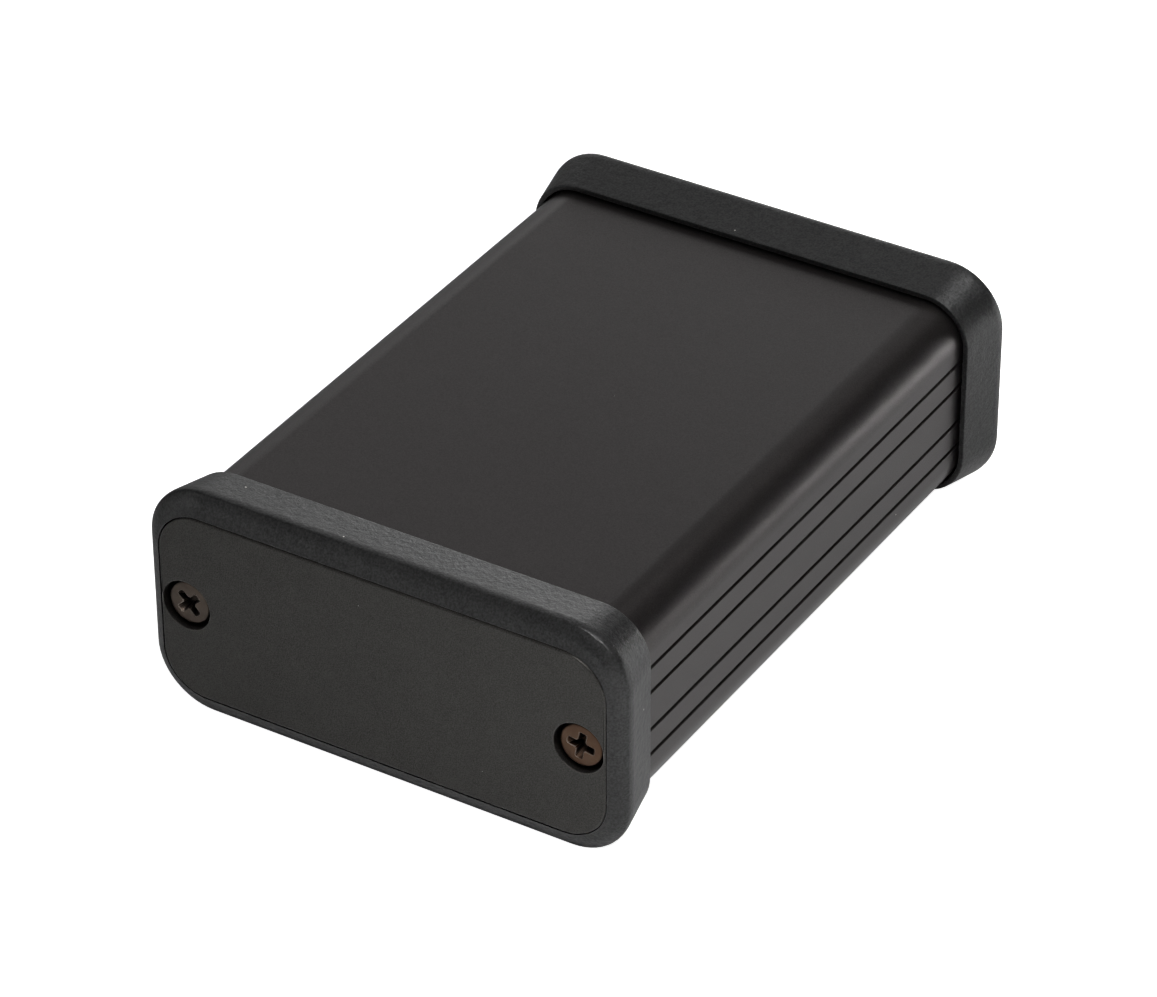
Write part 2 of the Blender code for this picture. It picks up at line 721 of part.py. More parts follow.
def build_chips(parent):
    """The flat packages."""
    for name, ((x, back), size) in CHIPS.items():
        width, depth, height = (s * MM for s in size)
        low = (x * MM - width / 2, -back * MM - depth / 2, SOLDER_GAP)
        high = (x * MM + width / 2, -back * MM + depth / 2, SOLDER_GAP + height)
        label = "capacitor_yellow" if name.startswith("tantalum") else "chip_black"
        if name == "clock_oscillator":
            label = "can_aluminium"
        piece(name, box_mesh(low, high, CHIP_EDGE), label, parent)


def build_crystal(parent):
    """The crystal in its drawn can, round at both ends."""
    x, back = CRYSTAL_PLACE
    width, depth, height = CRYSTAL_SIZE
    outline = rounded_rectangle(width, depth, depth / 2 * 0.98)
    can = outline_mesh("crystal", [outline], -height / 2, height / 2)
    can.transform(Matrix.Rotation(math.pi / 2, 4, "X"))
    piece("crystal_can", can, "can_aluminium", parent, (x, -back, SOLDER_GAP + height / 2))


def build_power_parts(parent):
    """The inductor's drum and the upright capacitors, all turned about Z."""
    x, back = INDUCTOR_PLACE
    rim = INDUCTOR_HEIGHT / 5
    waist = INDUCTOR_RADIUS * 0.75
    drum = (
        (0, INDUCTOR_HEIGHT),
        (INDUCTOR_RADIUS, INDUCTOR_HEIGHT),
        (INDUCTOR_RADIUS, INDUCTOR_HEIGHT - rim),
        (waist, INDUCTOR_HEIGHT - rim),
        (waist, rim),
        (INDUCTOR_RADIUS, rim),
        (INDUCTOR_RADIUS, 0),
        (0, 0),
    )
    turned("power_inductor", drum, "ferrite_grey", parent, (x, -back, SOLDER_GAP), (0, 0, 0))
    neck = CAPACITOR_RADIUS * 0.88
    can = (
        (0, CAPACITOR_HEIGHT),
        (CAPACITOR_RADIUS - CHIP_EDGE, CAPACITOR_HEIGHT),
        (CAPACITOR_RADIUS, CAPACITOR_HEIGHT - CHIP_EDGE),
        (CAPACITOR_RADIUS, CAPACITOR_BASE * 2),
        (neck, CAPACITOR_BASE * 1.5),
        (CAPACITOR_RADIUS, CAPACITOR_BASE),
        (CAPACITOR_RADIUS, 0),
        (0, 0),
    )
    for name, place in CAPACITOR_PLACES.items():
        where = (place, -CAPACITOR_FROM_END, SOLDER_GAP)
        turned(name, can, "can_aluminium", parent, where, (0, 0, 0))


def build_end(name, parent, side, builder, cross_turns):
    """A bezel, its panel and its two screws, each on the empty that it slides with."""
    place = (0, side * CASE_LENGTH / 2, 0)
    turn = 0.0 if side > 0 else math.pi
    bezel_at = empty(name + "_bezel_slide", parent, place, turn)
    build_bezel(name + "_bezel", bezel_at)
    panel_at = empty(name + "_panel_slide", bezel_at)
    builder(panel_at)
    for word, across in (("left", -1), ("right", 1)):
        screw_at = empty(f"{name}_screw_{word}_slide", panel_at)
        build_screw(f"{name}_screw_{word}", screw_at, across * side, cross_turns[word])


def main():
    """Builds the analyzer from its case outward, then what the case holds."""
    axis = empty("case_axis", None, (0, 0, AXIS_HEIGHT))
    build_case(axis)
    blank = {"left": math.radians(43), "right": math.radians(-10)}
    connectors = {"left": math.radians(18), "right": math.radians(62)}
    build_end("front", axis, -1, lambda at: build_panel("front_panel", at), blank)
    build_end("rear", axis, 1, build_rear_panel, connectors)
    edge = empty("board_slide", axis, (0, CASE_LENGTH / 2 - BOARD_SETBACK, BOARD_TOP))
    build_board(edge)
    build_shroud(edge)
    build_pins(edge)
    build_usb(edge)
    build_lights(edge)
    build_chips(edge)
    build_crystal(edge)
    build_power_parts(edge)


clear_scene()
PARTS = new_collection("logic_analyzer")
CUTTERS = new_collection("cutters")
CUTTERS.hide_render = True
main()
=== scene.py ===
"""The looks of a pocket logic analyzer in an extruded aluminium case.

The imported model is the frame, and every piece takes its place and size from the boxes of the
nodes that it dresses or stands for. Sizes below are in millimetres unless a name says otherwise,
and the object's long axis is Y.
"""

from __future__ import annotations

import json
import logging
import math
import random
from dataclasses import dataclass, replace
from enum import Enum
from typing import Any, Iterable, Sequence

import bmesh
import bpy
from mathutils import Matrix, Vector
from mathutils.geometry import tessellate_polygon

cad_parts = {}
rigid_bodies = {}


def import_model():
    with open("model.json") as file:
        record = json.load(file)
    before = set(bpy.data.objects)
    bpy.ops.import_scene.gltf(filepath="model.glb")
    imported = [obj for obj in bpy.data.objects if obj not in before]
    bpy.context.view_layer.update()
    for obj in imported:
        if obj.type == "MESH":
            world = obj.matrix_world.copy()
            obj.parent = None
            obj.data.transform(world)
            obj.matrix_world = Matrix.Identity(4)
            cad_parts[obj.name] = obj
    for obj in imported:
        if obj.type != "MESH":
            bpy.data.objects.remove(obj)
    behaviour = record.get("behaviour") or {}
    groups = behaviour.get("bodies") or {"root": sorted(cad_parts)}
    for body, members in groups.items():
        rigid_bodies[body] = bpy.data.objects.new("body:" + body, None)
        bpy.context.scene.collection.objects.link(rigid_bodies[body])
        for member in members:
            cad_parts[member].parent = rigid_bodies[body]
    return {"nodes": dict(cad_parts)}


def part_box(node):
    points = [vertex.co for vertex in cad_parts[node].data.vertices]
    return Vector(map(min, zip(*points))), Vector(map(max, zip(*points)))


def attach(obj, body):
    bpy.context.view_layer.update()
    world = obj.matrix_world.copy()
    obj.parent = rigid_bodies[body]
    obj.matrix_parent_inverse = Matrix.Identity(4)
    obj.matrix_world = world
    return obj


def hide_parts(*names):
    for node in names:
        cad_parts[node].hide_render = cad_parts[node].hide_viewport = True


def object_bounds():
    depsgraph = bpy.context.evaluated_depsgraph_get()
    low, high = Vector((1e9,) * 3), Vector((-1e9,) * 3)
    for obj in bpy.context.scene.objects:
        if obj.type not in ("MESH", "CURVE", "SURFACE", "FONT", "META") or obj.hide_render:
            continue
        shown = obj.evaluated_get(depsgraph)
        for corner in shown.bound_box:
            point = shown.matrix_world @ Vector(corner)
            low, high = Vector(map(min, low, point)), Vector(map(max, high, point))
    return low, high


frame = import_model()
CAD_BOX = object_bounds()

LOG = logging.getLogger("analyzer")
MM = 0.001
DUST_COLOUR = (0.62, 0.60, 0.56, 1.0)
# Painted shade in recesses and holes: the near-black colour they are darkened towards, and the share of
# reflection left there.
HOLLOW_SHADE_COLOUR = (0.004, 0.003, 0.003, 1.0)
HOLLOW_SHADE_SHARE = 0.06
FLOOR_COLOUR = (0.8, 0.8, 0.8, 1.0)
WHITE = (1.0, 1.0, 1.0, 1.0)
PINS = tuple(f"header_pin_{number:02d}" for number in range(1, 11))

Flat = tuple[float, float]
Colour = tuple[float, float, float]


class Body(str, Enum):
    """The bodies that many pieces ride on; any other body goes by its own node's name."""

    CASE = "case"
    BOARD = "board"


class Axis(Enum):
    """The direction that drawn or brushed lines run in."""

    X = (0.03, 1.0, 1.0)
    Y = (1.0, 0.03, 1.0)
    Z = (1.0, 1.0, 0.03)


# ---------------------------------------------------------------- node graphs


class Graph:
    """Adds nodes to one node tree, and sets or links their inputs."""

    def __init__(self, tree: bpy.types.NodeTree) -> None:
        """Keeps the tree that nodes are added to.

        Args:
            tree: the material's or the group's node tree.
        """
        self.tree = tree

    def add(self, kind: str, inputs: dict[Any, Any] | None = None, **settings: Any) -> bpy.types.Node:
        """Adds a node.

        Args:
            kind: the node type's name without its ShaderNode prefix.
            inputs: values or sockets for the node's inputs, by name or number.
            settings: the node's own properties.

        Returns:
            The node.
        """
        node = self.tree.nodes.new("ShaderNode" + kind)
        for name, value in settings.items():
            setattr(node, name, value)
        for name, value in (inputs or {}).items():
            if isinstance(value, bpy.types.NodeSocket):
                self.tree.links.new(value, node.inputs[name])
            else:
                node.inputs[name].default_value = value
        return node

    def math(self, operation: str, *values: Any) -> bpy.types.NodeSocket:
        """Adds a Math node on the values given, and returns its output."""
        return self.add("Math", dict(enumerate(values)), operation=operation).outputs[0]

    def blend(self, share: Any, first: Any, second: Any) -> bpy.types.NodeSocket:
        """Mixes two colours by a share, and returns the colour."""
        node = self.add("Mix", {0: share, 6: first, 7: second}, data_type="RGBA")
        return node.outputs[2]

    def between(
        self, value: Any, start: Any, end: Any, low: Any = 0.0, high: Any = 1.0
    ) -> bpy.types.NodeSocket:
        """Maps a value from the range start..end to low..high, clamped, and returns it."""
        inputs = {"Value": value, "From Min": start, "From Max": end, "To Min": low, "To Max": high}
        return self.add("MapRange", inputs).outputs[0]


class Effect(Enum):
    """Shared shader effects, each a node group that is built once."""

    GRAIN = "surface_grain"
    DRIFT = "colour_drift"
    LINES = "drawn_lines"
    WEAR = "edge_wear"
    DUST = "fine_dust"

    def group(self) -> bpy.types.NodeTree:
        """Returns the effect's node group, and builds it on first use."""
        return bpy.data.node_groups.get(self.value) or BUILDERS[self](self.value)


def new_group(
    name: str, inputs: dict[str, Any], outputs: Iterable[tuple[str, str]]
) -> tuple[Graph, Any, Any]:
    """Makes an empty node group.

    Args:
        name: the group's name.
        inputs: each input's name with its default, a number, a colour or a vector.
        outputs: each output's name with its socket type.

    Returns:
        The group's graph, its input node's outputs, and its output node's inputs.
    """
    tree = bpy.data.node_groups.new(name, "ShaderNodeTree")
    for label, default in inputs.items():
        kind = {float: "NodeSocketFloat", 4: "NodeSocketColor", 3: "NodeSocketVector"}
        key = float if isinstance(default, float) else len(default)
        socket = tree.interface.new_socket(label, in_out="INPUT", socket_type=kind[key])
        socket.default_value = default
    for label, socket_type in outputs:
        tree.interface.new_socket(label, in_out="OUTPUT", socket_type=socket_type)
    graph = Graph(tree)
    start = tree.nodes.new("NodeGroupInput")
    end = tree.nodes.new("NodeGroupOutput")
    return graph, start.outputs, end.inputs


def grain_group(name: str) -> bpy.types.NodeTree:
    """Builds the grain of moulded, etched or blasted surfaces.

    Args:
        name: the group's name.

    Returns:
        A group with a Height and a Value that scatters evenly about one half.
    """
    outputs = (("Height", "NodeSocketFloat"), ("Value", "NodeSocketFloat"))
    graph, given, out = new_group(name, {"Size": 0.2, "Coarse": 0.5}, outputs)
    place = graph.add("TexCoord").outputs["Object"]
    scale = graph.math("DIVIDE", 1 / MM, given["Size"])
    fine = graph.add("TexNoise", {"Vector": place, "Scale": scale, "Detail": 2.0, "Roughness": 0.6})
    wide = graph.math("MULTIPLY", scale, 0.35)
    pits = graph.add("TexVoronoi", {"Vector": place, "Scale": wide, "Randomness": 1.0}, feature="SMOOTH_F1")
    both = graph.add("Mix", {0: given["Coarse"], 2: fine.outputs[0], 3: pits.outputs[0]})
    graph.tree.links.new(both.outputs[0], out["Height"])
    graph.tree.links.new(fine.outputs[0], out["Value"])
    return graph.tree


def drift_group(name: str) -> bpy.types.NodeTree:
    """Builds a slow change over the surface between two colours.

    Args:
        name: the group's name.

    Returns:
        A group with a Color, and the Mask that mixed it.
    """
    inputs = {"First": (0.5, 0.5, 0.5, 1.0), "Second": (0.5, 0.5, 0.5, 1.0), "Size": 12.0}
    outputs = (("Color", "NodeSocketColor"), ("Mask", "NodeSocketFloat"))
    graph, given, out = new_group(name, inputs, outputs)
    place = graph.add("TexCoord").outputs["Object"]
    scale = graph.math("DIVIDE", 1 / MM, given["Size"])
    noise = graph.add("TexNoise", {"Vector": place, "Scale": scale, "Detail": 4.0, "Roughness": 0.62})
    mask = graph.between(noise.outputs[0], 0.32, 0.68)
    graph.tree.links.new(graph.blend(mask, given["First"], given["Second"]), out["Color"])
    graph.tree.links.new(mask, out["Mask"])
    return graph.tree


def lines_group(name: str) -> bpy.types.NodeTree:
    """Builds the fine lines that drawing, extruding or brushing leaves.

    Args:
        name: the group's name.

    Returns:
        A group with a Height, from noise that is stretched by the Stretch vector.
    """
    inputs = {"Stretch": (1.0, 0.03, 1.0), "Size": 0.25}
    graph, given, out = new_group(name, inputs, (("Height", "NodeSocketFloat"),))
    place = graph.add("TexCoord").outputs["Object"]
    scale = graph.math("DIVIDE", 1 / MM, given["Size"])
    scaled = graph.add("VectorMath", {0: place, 1: given["Stretch"]}, operation="MULTIPLY")
    noise = graph.add("TexNoise", {"Vector": scaled.outputs[0], "Scale": scale, "Detail": 3.0})
    graph.tree.links.new(noise.outputs[0], out["Height"])
    return graph.tree


def wear_and_highlight_group(name: str) -> bpy.types.NodeTree:
    """Builds a broken mask along outer edges, where handling rubs them and where light catches them as
    painted highlights.

    Args:
        name: the group's name.

    Returns:
        A group with a Mask.
    """
    graph, given, out = new_group(name, {"Width": 0.15, "Amount": 0.3}, (("Mask", "NodeSocketFloat"),))
    radius = graph.math("MULTIPLY", given["Width"], MM)
    soft = graph.add("Bevel", {"Radius": radius}, samples=4).outputs[0]
    normal = graph.add("NewGeometry").outputs["Normal"]
    along = graph.add("VectorMath", {0: soft, 1: normal}, operation="DOT_PRODUCT").outputs["Value"]
    edge = graph.between(along, 0.995, 0.9)
    place = graph.add("TexCoord").outputs["Object"]
    noise = graph.add("TexNoise", {"Vector": place, "Scale": 0.9 / MM, "Detail": 3.0})
    broken = graph.between(noise.outputs[0], 0.35, 0.65, 0.35, 1.0)
    mask = graph.math("MULTIPLY", graph.math("MULTIPLY", edge, broken), given["Amount"])
    graph.tree.links.new(mask, out["Mask"])
    return graph.tree


def dust_group(name: str) -> bpy.types.NodeTree:
    """Builds a thin film and a few loose specks of dust.

    Args:
        name: the group's name.

    Returns:
        A group with a Mask.
    """
    inputs = {"Film": 0.02, "Specks": 0.5, "Spacing": 3.0}
    graph, given, out = new_group(name, inputs, (("Mask", "NodeSocketFloat"),))
    place = graph.add("TexCoord").outputs["Object"]
    scale = graph.math("DIVIDE", 1 / MM, given["Spacing"])
    cells = graph.add("TexVoronoi", {"Vector": place, "Scale": scale}, feature="F1")
    chosen = graph.add("SeparateColor", {0: cells.outputs["Color"]})
    reach = graph.between(chosen.outputs[1], 0.0, 1.0, 0.012, 0.04)
    inside = graph.math("LESS_THAN", cells.outputs["Distance"], reach)
    kept = graph.math("LESS_THAN", chosen.outputs[0], given["Specks"])
    specks = graph.math("MULTIPLY", inside, kept)
    noise = graph.add("TexNoise", {"Vector": place, "Scale": 0.35 / MM, "Detail": 5.0, "Roughness": 0.7})
    film = graph.math("MULTIPLY", graph.between(noise.outputs[0], 0.4, 0.75), given["Film"])
    graph.tree.links.new(graph.math("MAXIMUM", specks, film), out["Mask"])
    return graph.tree


BUILDERS = {
    Effect.GRAIN: grain_group,
    Effect.DRIFT: drift_group,
    Effect.LINES: lines_group,
    Effect.WEAR: wear_and_highlight_group,
    Effect.DUST: dust_group,
}


# ---------------------------------------------------------------- finishes


@dataclass(frozen=True)
class Finish:
    """A surface finish, and the record's slot that it belongs to."""

    name: str
    slot: str
    colour: Colour
    second: Colour
    roughness: float
    metallic: float = 0.0
    specular: float = 0.5
    roughness_drift: float = 0.05
    drift_size: float = 12.0
    grain_size: float = 0.15
    grain_height: float = 0.004
    grain_coarse: float = 0.4
    line_height: float = 0.0
    line_size: float = 0.25
    line_axis: Axis = Axis.Y
    # Edge colour: partly rubbing, partly painted highlights along rims and edges.
    wear: float = 0.15
    wear_and_highlight_width: float = 0.12
    wear_and_highlight_colour: Colour = (0.2, 0.2, 0.2)
    film: float = 0.02
    specks: float = 0.04
    coat: float = 0.0
    transmission: float = 0.0
    subsurface: float = 0.0
    tint: Colour = (1.0, 1.0, 1.0)
    sparkle: float = 0.0
    # Distance in mm within which ambient occlusion paints shade in recesses and holes; zero paints none.
    hollow_shade: float = 0.0

    def material(self) -> bpy.types.Material:
        """Returns the finish's material, and builds it on first use."""
        return bpy.data.materials.get(self.name) or self.build()

    def build(self) -> bpy.types.Material:
        """Builds the material: drifting colour, rubbed edges with painted highlights, painted shade in
        recesses, dust, grain and drawn lines.

        Returns:
            The material.
        """
        made = bpy.data.materials.new(self.name)
        made.use_nodes = True
        graph = Graph(made.node_tree)
        shader = made.node_tree.nodes["Principled BSDF"]
        drift = self.place(graph, Effect.DRIFT, First=(*self.colour, 1.0), Second=(*self.second, 1.0),
                           Size=self.drift_size)
        wear = self.place(graph, Effect.WEAR, Width=self.wear_and_highlight_width, Amount=self.wear)
        dust = self.place(graph, Effect.DUST, Film=self.film, Specks=self.specks)
        grain = self.place(graph, Effect.GRAIN, Size=self.grain_size, Coarse=self.grain_coarse)
        # Lighter colour along outer edges: partly rubbing, partly painted highlights where light would
        # catch them.
        worn_and_painted = graph.blend(wear.outputs["Mask"], drift.outputs["Color"], (*self.wear_and_highlight_colour, 1.0))
        # Painted shade: where ambient occlusion finds a recess, such as a screw's cross or a hole's wall,
        # the colour is darkened towards near black and the reflection is cut down.
        open_to_light: Any = 1.0
        if self.hollow_shade:
            seen = graph.add("AmbientOcclusion", {"Distance": self.hollow_shade * MM}, samples=8).outputs["AO"]
            open_to_light = graph.between(seen, 0.4, 0.85, HOLLOW_SHADE_SHARE, 1.0)
            worn_and_painted = graph.blend(open_to_light, HOLLOW_SHADE_COLOUR, worn_and_painted)
        dusty = graph.blend(dust.outputs["Mask"], worn_and_painted, DUST_COLOUR)
        sheen = graph.between(drift.outputs["Mask"], 0.0, 1.0, self.roughness - self.roughness_drift,
                              self.roughness + self.roughness_drift)
        rough = graph.math("MAXIMUM", sheen, graph.math("MULTIPLY", dust.outputs["Mask"], 0.9))
        height = graph.math("MULTIPLY", grain.outputs["Height"], self.grain_height)
        if self.line_height:
            lines = self.place(graph, Effect.LINES, Stretch=self.line_axis.value, Size=self.line_size)
            drawn = graph.math("MULTIPLY", lines.outputs["Height"], self.line_height)
            height = graph.math("ADD", height, drawn)
        bump = graph.add("Bump", {"Strength": 1.0, "Distance": MM, "Height": height})
        links = made.node_tree.links
        links.new(dusty, shader.inputs["Base Color"])
        links.new(rough, shader.inputs["Roughness"])
        glint = graph.between(grain.outputs["Value"], 0.35, 0.65, self.specular * (1 - self.sparkle),
                              self.specular * (1 + self.sparkle))
        # The painted shade in recesses also cuts down the reflection there.
        links.new(graph.math("MULTIPLY", glint, open_to_light), shader.inputs["Specular IOR Level"])
        links.new(bump.outputs[0], shader.inputs["Normal"])
        shader.inputs["Metallic"].default_value = self.metallic
        shader.inputs["Specular Tint"].default_value = (*self.tint, 1.0)
        shader.inputs["Coat Weight"].default_value = self.coat
        shader.inputs["Transmission Weight"].default_value = self.transmission
        shader.inputs["Subsurface Weight"].default_value = self.subsurface
        shader.inputs["Subsurface Scale"].default_value = MM
        return made

    @staticmethod
    def place(graph: Graph, effect: Effect, **values: Any) -> bpy.types.Node:
        """Places one shared effect in a material.

        Args:
            graph: the material's graph.
            effect: the effect.
            values: the group's inputs.

        Returns:
            The group node.
        """
        node = graph.add("Group", node_tree=effect.group())
        for label, value in values.items():
            node.inputs[label].default_value = value
        return node


ANODISED = Finish(
    "satin_black_anodising", "anodised_black", (0.0055, 0.0048, 0.0048), (0.0065, 0.0057, 0.0057), 0.33,
    roughness_drift=0.008, drift_size=25.0, grain_size=0.12, grain_height=0.008, grain_coarse=0.3,
    line_height=0.001, line_size=0.5, wear=0.1, wear_and_highlight_colour=(0.12, 0.12, 0.12), film=0.004, specks=0.12,
    specular=0.53, tint=(1.0, 0.90, 0.89), sparkle=0.2,
)
# Bezel moulding: the lighter edge colour paints the thin bright line along the lip's edges, besides
# rubbing.
MOULDED = Finish(
    "textured_black_moulding", "moulded_black", (0.007, 0.007, 0.0072), (0.009, 0.009, 0.0092), 0.42,
    roughness_drift=0.02, grain_size=0.24, grain_height=0.08, grain_coarse=0.5, wear=0.6, wear_and_highlight_width=0.12,
    wear_and_highlight_colour=(0.2, 0.2, 0.2), film=0.01, specks=0.5, sparkle=0.28,
)
# Panel: the lighter edge colour paints the bright rims along its edge and its holes, besides rubbing, and
# shade is painted on its hole walls.
PANEL = Finish(
    "fine_textured_black_panel", "panel_black", (0.009, 0.0086, 0.008), (0.011, 0.0105, 0.0098), 0.42,
    roughness_drift=0.015, drift_size=18.0, grain_size=0.14, grain_height=0.02, grain_coarse=0.4, wear=0.9,
    wear_and_highlight_width=0.12, wear_and_highlight_colour=(0.25, 0.24, 0.23), film=0.008, specks=0.7,
    tint=(1.0, 0.97, 0.91), sparkle=0.4, hollow_shade=2.0,
)
# Screws: the pale edge colour paints glints on the rims of the head and the cross recess, besides rubbing,
# and the recess gets painted shade. The rubbed copy below shares both.
BRONZED = Finish(
    "bronzed_screw_steel", "bronzed_steel", (0.080, 0.046, 0.030), (0.11, 0.064, 0.040), 0.36,
    metallic=1.0, drift_size=2.5, grain_size=0.08, grain_height=0.004, wear=0.8,
    wear_and_highlight_width=0.1, wear_and_highlight_colour=(0.75, 0.66, 0.58), film=0.03, specks=0.02, hollow_shade=1.4,
)
RUBBED = replace(
    BRONZED, name="rubbed_screw_steel", colour=(0.072, 0.056, 0.046), second=(0.11, 0.086, 0.07)
)
TINNED = Finish(
    "tinned_steel_sheet", "tinned_steel", (0.60, 0.60, 0.58), (0.70, 0.69, 0.67), 0.28, metallic=1.0,
    drift_size=5.0, grain_size=0.1, grain_height=0.002, line_height=0.002, line_size=0.2,
    wear=0.1, wear_and_highlight_colour=(0.8, 0.8, 0.78),
)
SOLDER = Finish(
    "bright_solder", "tinned_steel", (0.58, 0.58, 0.57), (0.72, 0.72, 0.70), 0.24, metallic=1.0,
    drift_size=1.2, grain_size=0.3, grain_height=0.02, wear=0.0,
)
GOLD = Finish(
    "gold_flash", "pin_gold", (0.78, 0.56, 0.22), (0.86, 0.63, 0.28), 0.22, metallic=1.0, drift_size=3.0,
    grain_size=0.1, grain_height=0.001, line_height=0.002, line_size=0.15, wear=0.1,
    wear_and_highlight_colour=(0.9, 0.75, 0.4),
)
WHITE_MOULDING = Finish(
    "white_moulding", "socket_white", (0.66, 0.66, 0.61), (0.72, 0.72, 0.68), 0.42, grain_size=0.2,
    grain_height=0.004, wear=0.05, wear_and_highlight_colour=(0.8, 0.8, 0.78),
)
SHROUD = Finish(
    "black_header_moulding", "shroud_black", (0.014, 0.014, 0.015), (0.02, 0.02, 0.021), 0.42,
    grain_size=0.15, grain_height=0.006, wear=0.2, wear_and_highlight_colour=(0.1, 0.1, 0.1),
)
CHIP = Finish(
    "chip_moulding", "chip_black", (0.02, 0.02, 0.021), (0.028, 0.028, 0.029), 0.5, drift_size=6.0,
    grain_size=0.09, grain_height=0.005, wear=0.2, wear_and_highlight_colour=(0.09, 0.09, 0.09),
)
CAN = Finish(
    "drawn_can", "can_aluminium", (0.66, 0.66, 0.65), (0.76, 0.76, 0.75), 0.25, metallic=1.0,
    drift_size=4.0, grain_size=0.12, grain_height=0.002, line_height=0.002, line_size=0.2, line_axis=Axis.X,
    wear=0.1, wear_and_highlight_colour=(0.85, 0.85, 0.84),
)
FERRITE = Finish(
    "ferrite", "ferrite_grey", (0.045, 0.045, 0.05), (0.06, 0.06, 0.066), 0.6, grain_size=0.1,
    grain_height=0.01, wear=0.4, wear_and_highlight_width=0.2, wear_and_highlight_colour=(0.16, 0.16, 0.17),
)
COPPER = Finish(
    "enamelled_copper", "", (0.50, 0.19, 0.07), (0.62, 0.26, 0.10), 0.25, metallic=1.0, drift_size=2.0,
    grain_size=0.2, grain_height=0.001, wear=0.0, coat=0.6,
)
YELLOW = Finish(
    "yellow_capacitor_case", "capacitor_yellow", (0.62, 0.36, 0.05), (0.70, 0.42, 0.07), 0.45,
    grain_size=0.12, grain_height=0.005, wear=0.2, wear_and_highlight_colour=(0.75, 0.55, 0.2),
)
BROWN = Finish(
    "brown_polarity_band", "", (0.10, 0.03, 0.015), (0.14, 0.045, 0.02), 0.5, grain_size=0.12,
    grain_height=0.004,
)
FUSE_GREEN = Finish(
    "fuse_coating", "", (0.015, 0.10, 0.05), (0.02, 0.14, 0.07), 0.4, grain_size=0.2, grain_height=0.006,
)
FILM = Finish(
    "resistor_film", "chip_black", (0.012, 0.012, 0.014), (0.02, 0.02, 0.022), 0.3, drift_size=1.5,
    grain_size=0.1, grain_height=0.003, wear=0.1, coat=0.3,
)
CERAMIC = Finish(
    "capacitor_ceramic", "", (0.36, 0.23, 0.13), (0.44, 0.29, 0.17), 0.45, drift_size=2.0, grain_size=0.08,
    grain_height=0.003,
)
MASK = Finish(
    "green_solder_mask", "board_green", (0.006, 0.075, 0.032), (0.010, 0.10, 0.042), 0.28, drift_size=9.0,
    grain_size=0.35, grain_height=0.004, wear=0.1, wear_and_highlight_colour=(0.3, 0.4, 0.2), coat=0.25, specks=0.02,
)
MASKED_COPPER = Finish(
    "copper_under_mask", "board_green", (0.018, 0.16, 0.06), (0.024, 0.20, 0.075), 0.26, drift_size=6.0,
    grain_size=0.3, grain_height=0.003, wear=0.0, coat=0.25,
)
LAMINATE = Finish(
    "glass_laminate_edge", "board_green", (0.30, 0.27, 0.12), (0.40, 0.36, 0.17), 0.6, drift_size=3.0,
    grain_size=0.12, grain_height=0.02, line_height=0.02, line_size=0.3,
)
PRINT = Finish(
    "white_print", "", (0.62, 0.63, 0.60), (0.72, 0.72, 0.70), 0.55, drift_size=2.0, grain_size=0.1,
    grain_height=0.003, wear=0.0,
)
LENS_GREEN = Finish(
    "green_lens", "lens_green", (0.10, 0.62, 0.14), (0.13, 0.70, 0.18), 0.12, roughness_drift=0.03,
    grain_size=0.3, grain_height=0.001, wear=0.0, transmission=0.75, specks=0.0, film=0.01,
)
LENS_AMBER = Finish(
    "amber_lens", "lens_amber", (0.85, 0.42, 0.05), (0.90, 0.48, 0.07), 0.12, roughness_drift=0.03,
    grain_size=0.3, grain_height=0.001, wear=0.0, transmission=0.75, specks=0.0, film=0.01,
)


# ---------------------------------------------------------------- outlines


def arc(centre: Flat, radius: float, first: float, last: float, steps: int) -> list[Flat]:
    """Points on an arc.

    Args:
        centre: the arc's centre.
        radius: its radius.
        first: the angle of its first point, in radians.
        last: the angle of its last point.
        steps: the number of chords.

    Returns:
        The points, both ends included.
    """
    angles = [first + (last - first) * i / steps for i in range(steps + 1)]
    return [(centre[0] + radius * math.cos(a), centre[1] + radius * math.sin(a)) for a in angles]


def circle(centre: Flat, radius: float, steps: int = 48) -> list[Flat]:
    """A closed circle's points, counter-clockwise."""
    return arc(centre, radius, 0, math.tau, steps)[:-1]


def soften(corners: Sequence[tuple[float, float, float]]) -> list[Flat]:
    """Rounds the corners of a closed outline.

    Args:
        corners: each corner's place, and the radius that rounds it or 0.

    Returns:
        The outline's points.
    """
    points: list[Flat] = []
    for i, (x, z, radius) in enumerate(corners):
        here = Vector((x, z))
        if not radius:
            points.append((x, z))
            continue
        before = (Vector(corners[i - 1][:2]) - here).normalized()
        after = (Vector(corners[(i + 1) % len(corners)][:2]) - here).normalized()
        half = before.angle(after) / 2
        centre = here + (before + after).normalized() * radius / math.sin(half)
        start = here + before * radius / math.tan(half) - centre
        turn = (math.pi - 2 * half) * (1 if before.cross(after) < 0 else -1)
        steps = max(2, math.ceil(abs(turn) / math.radians(6 if radius > 1 else 24)))
        first = math.atan2(start.y, start.x)
        points += arc(tuple(centre), radius, first, first + turn, steps)
    return points


def rectangle(width: float, height: float, radius: float, centre: Flat = (0, 0)) -> list[Flat]:
    """A rectangle with round corners, counter-clockwise from its lower right."""
    corners = ((1, -1), (1, 1), (-1, 1), (-1, -1))
    x, z = centre
    return soften([(x + sx * width / 2, z + sz * height / 2, radius) for sx, sz in corners])


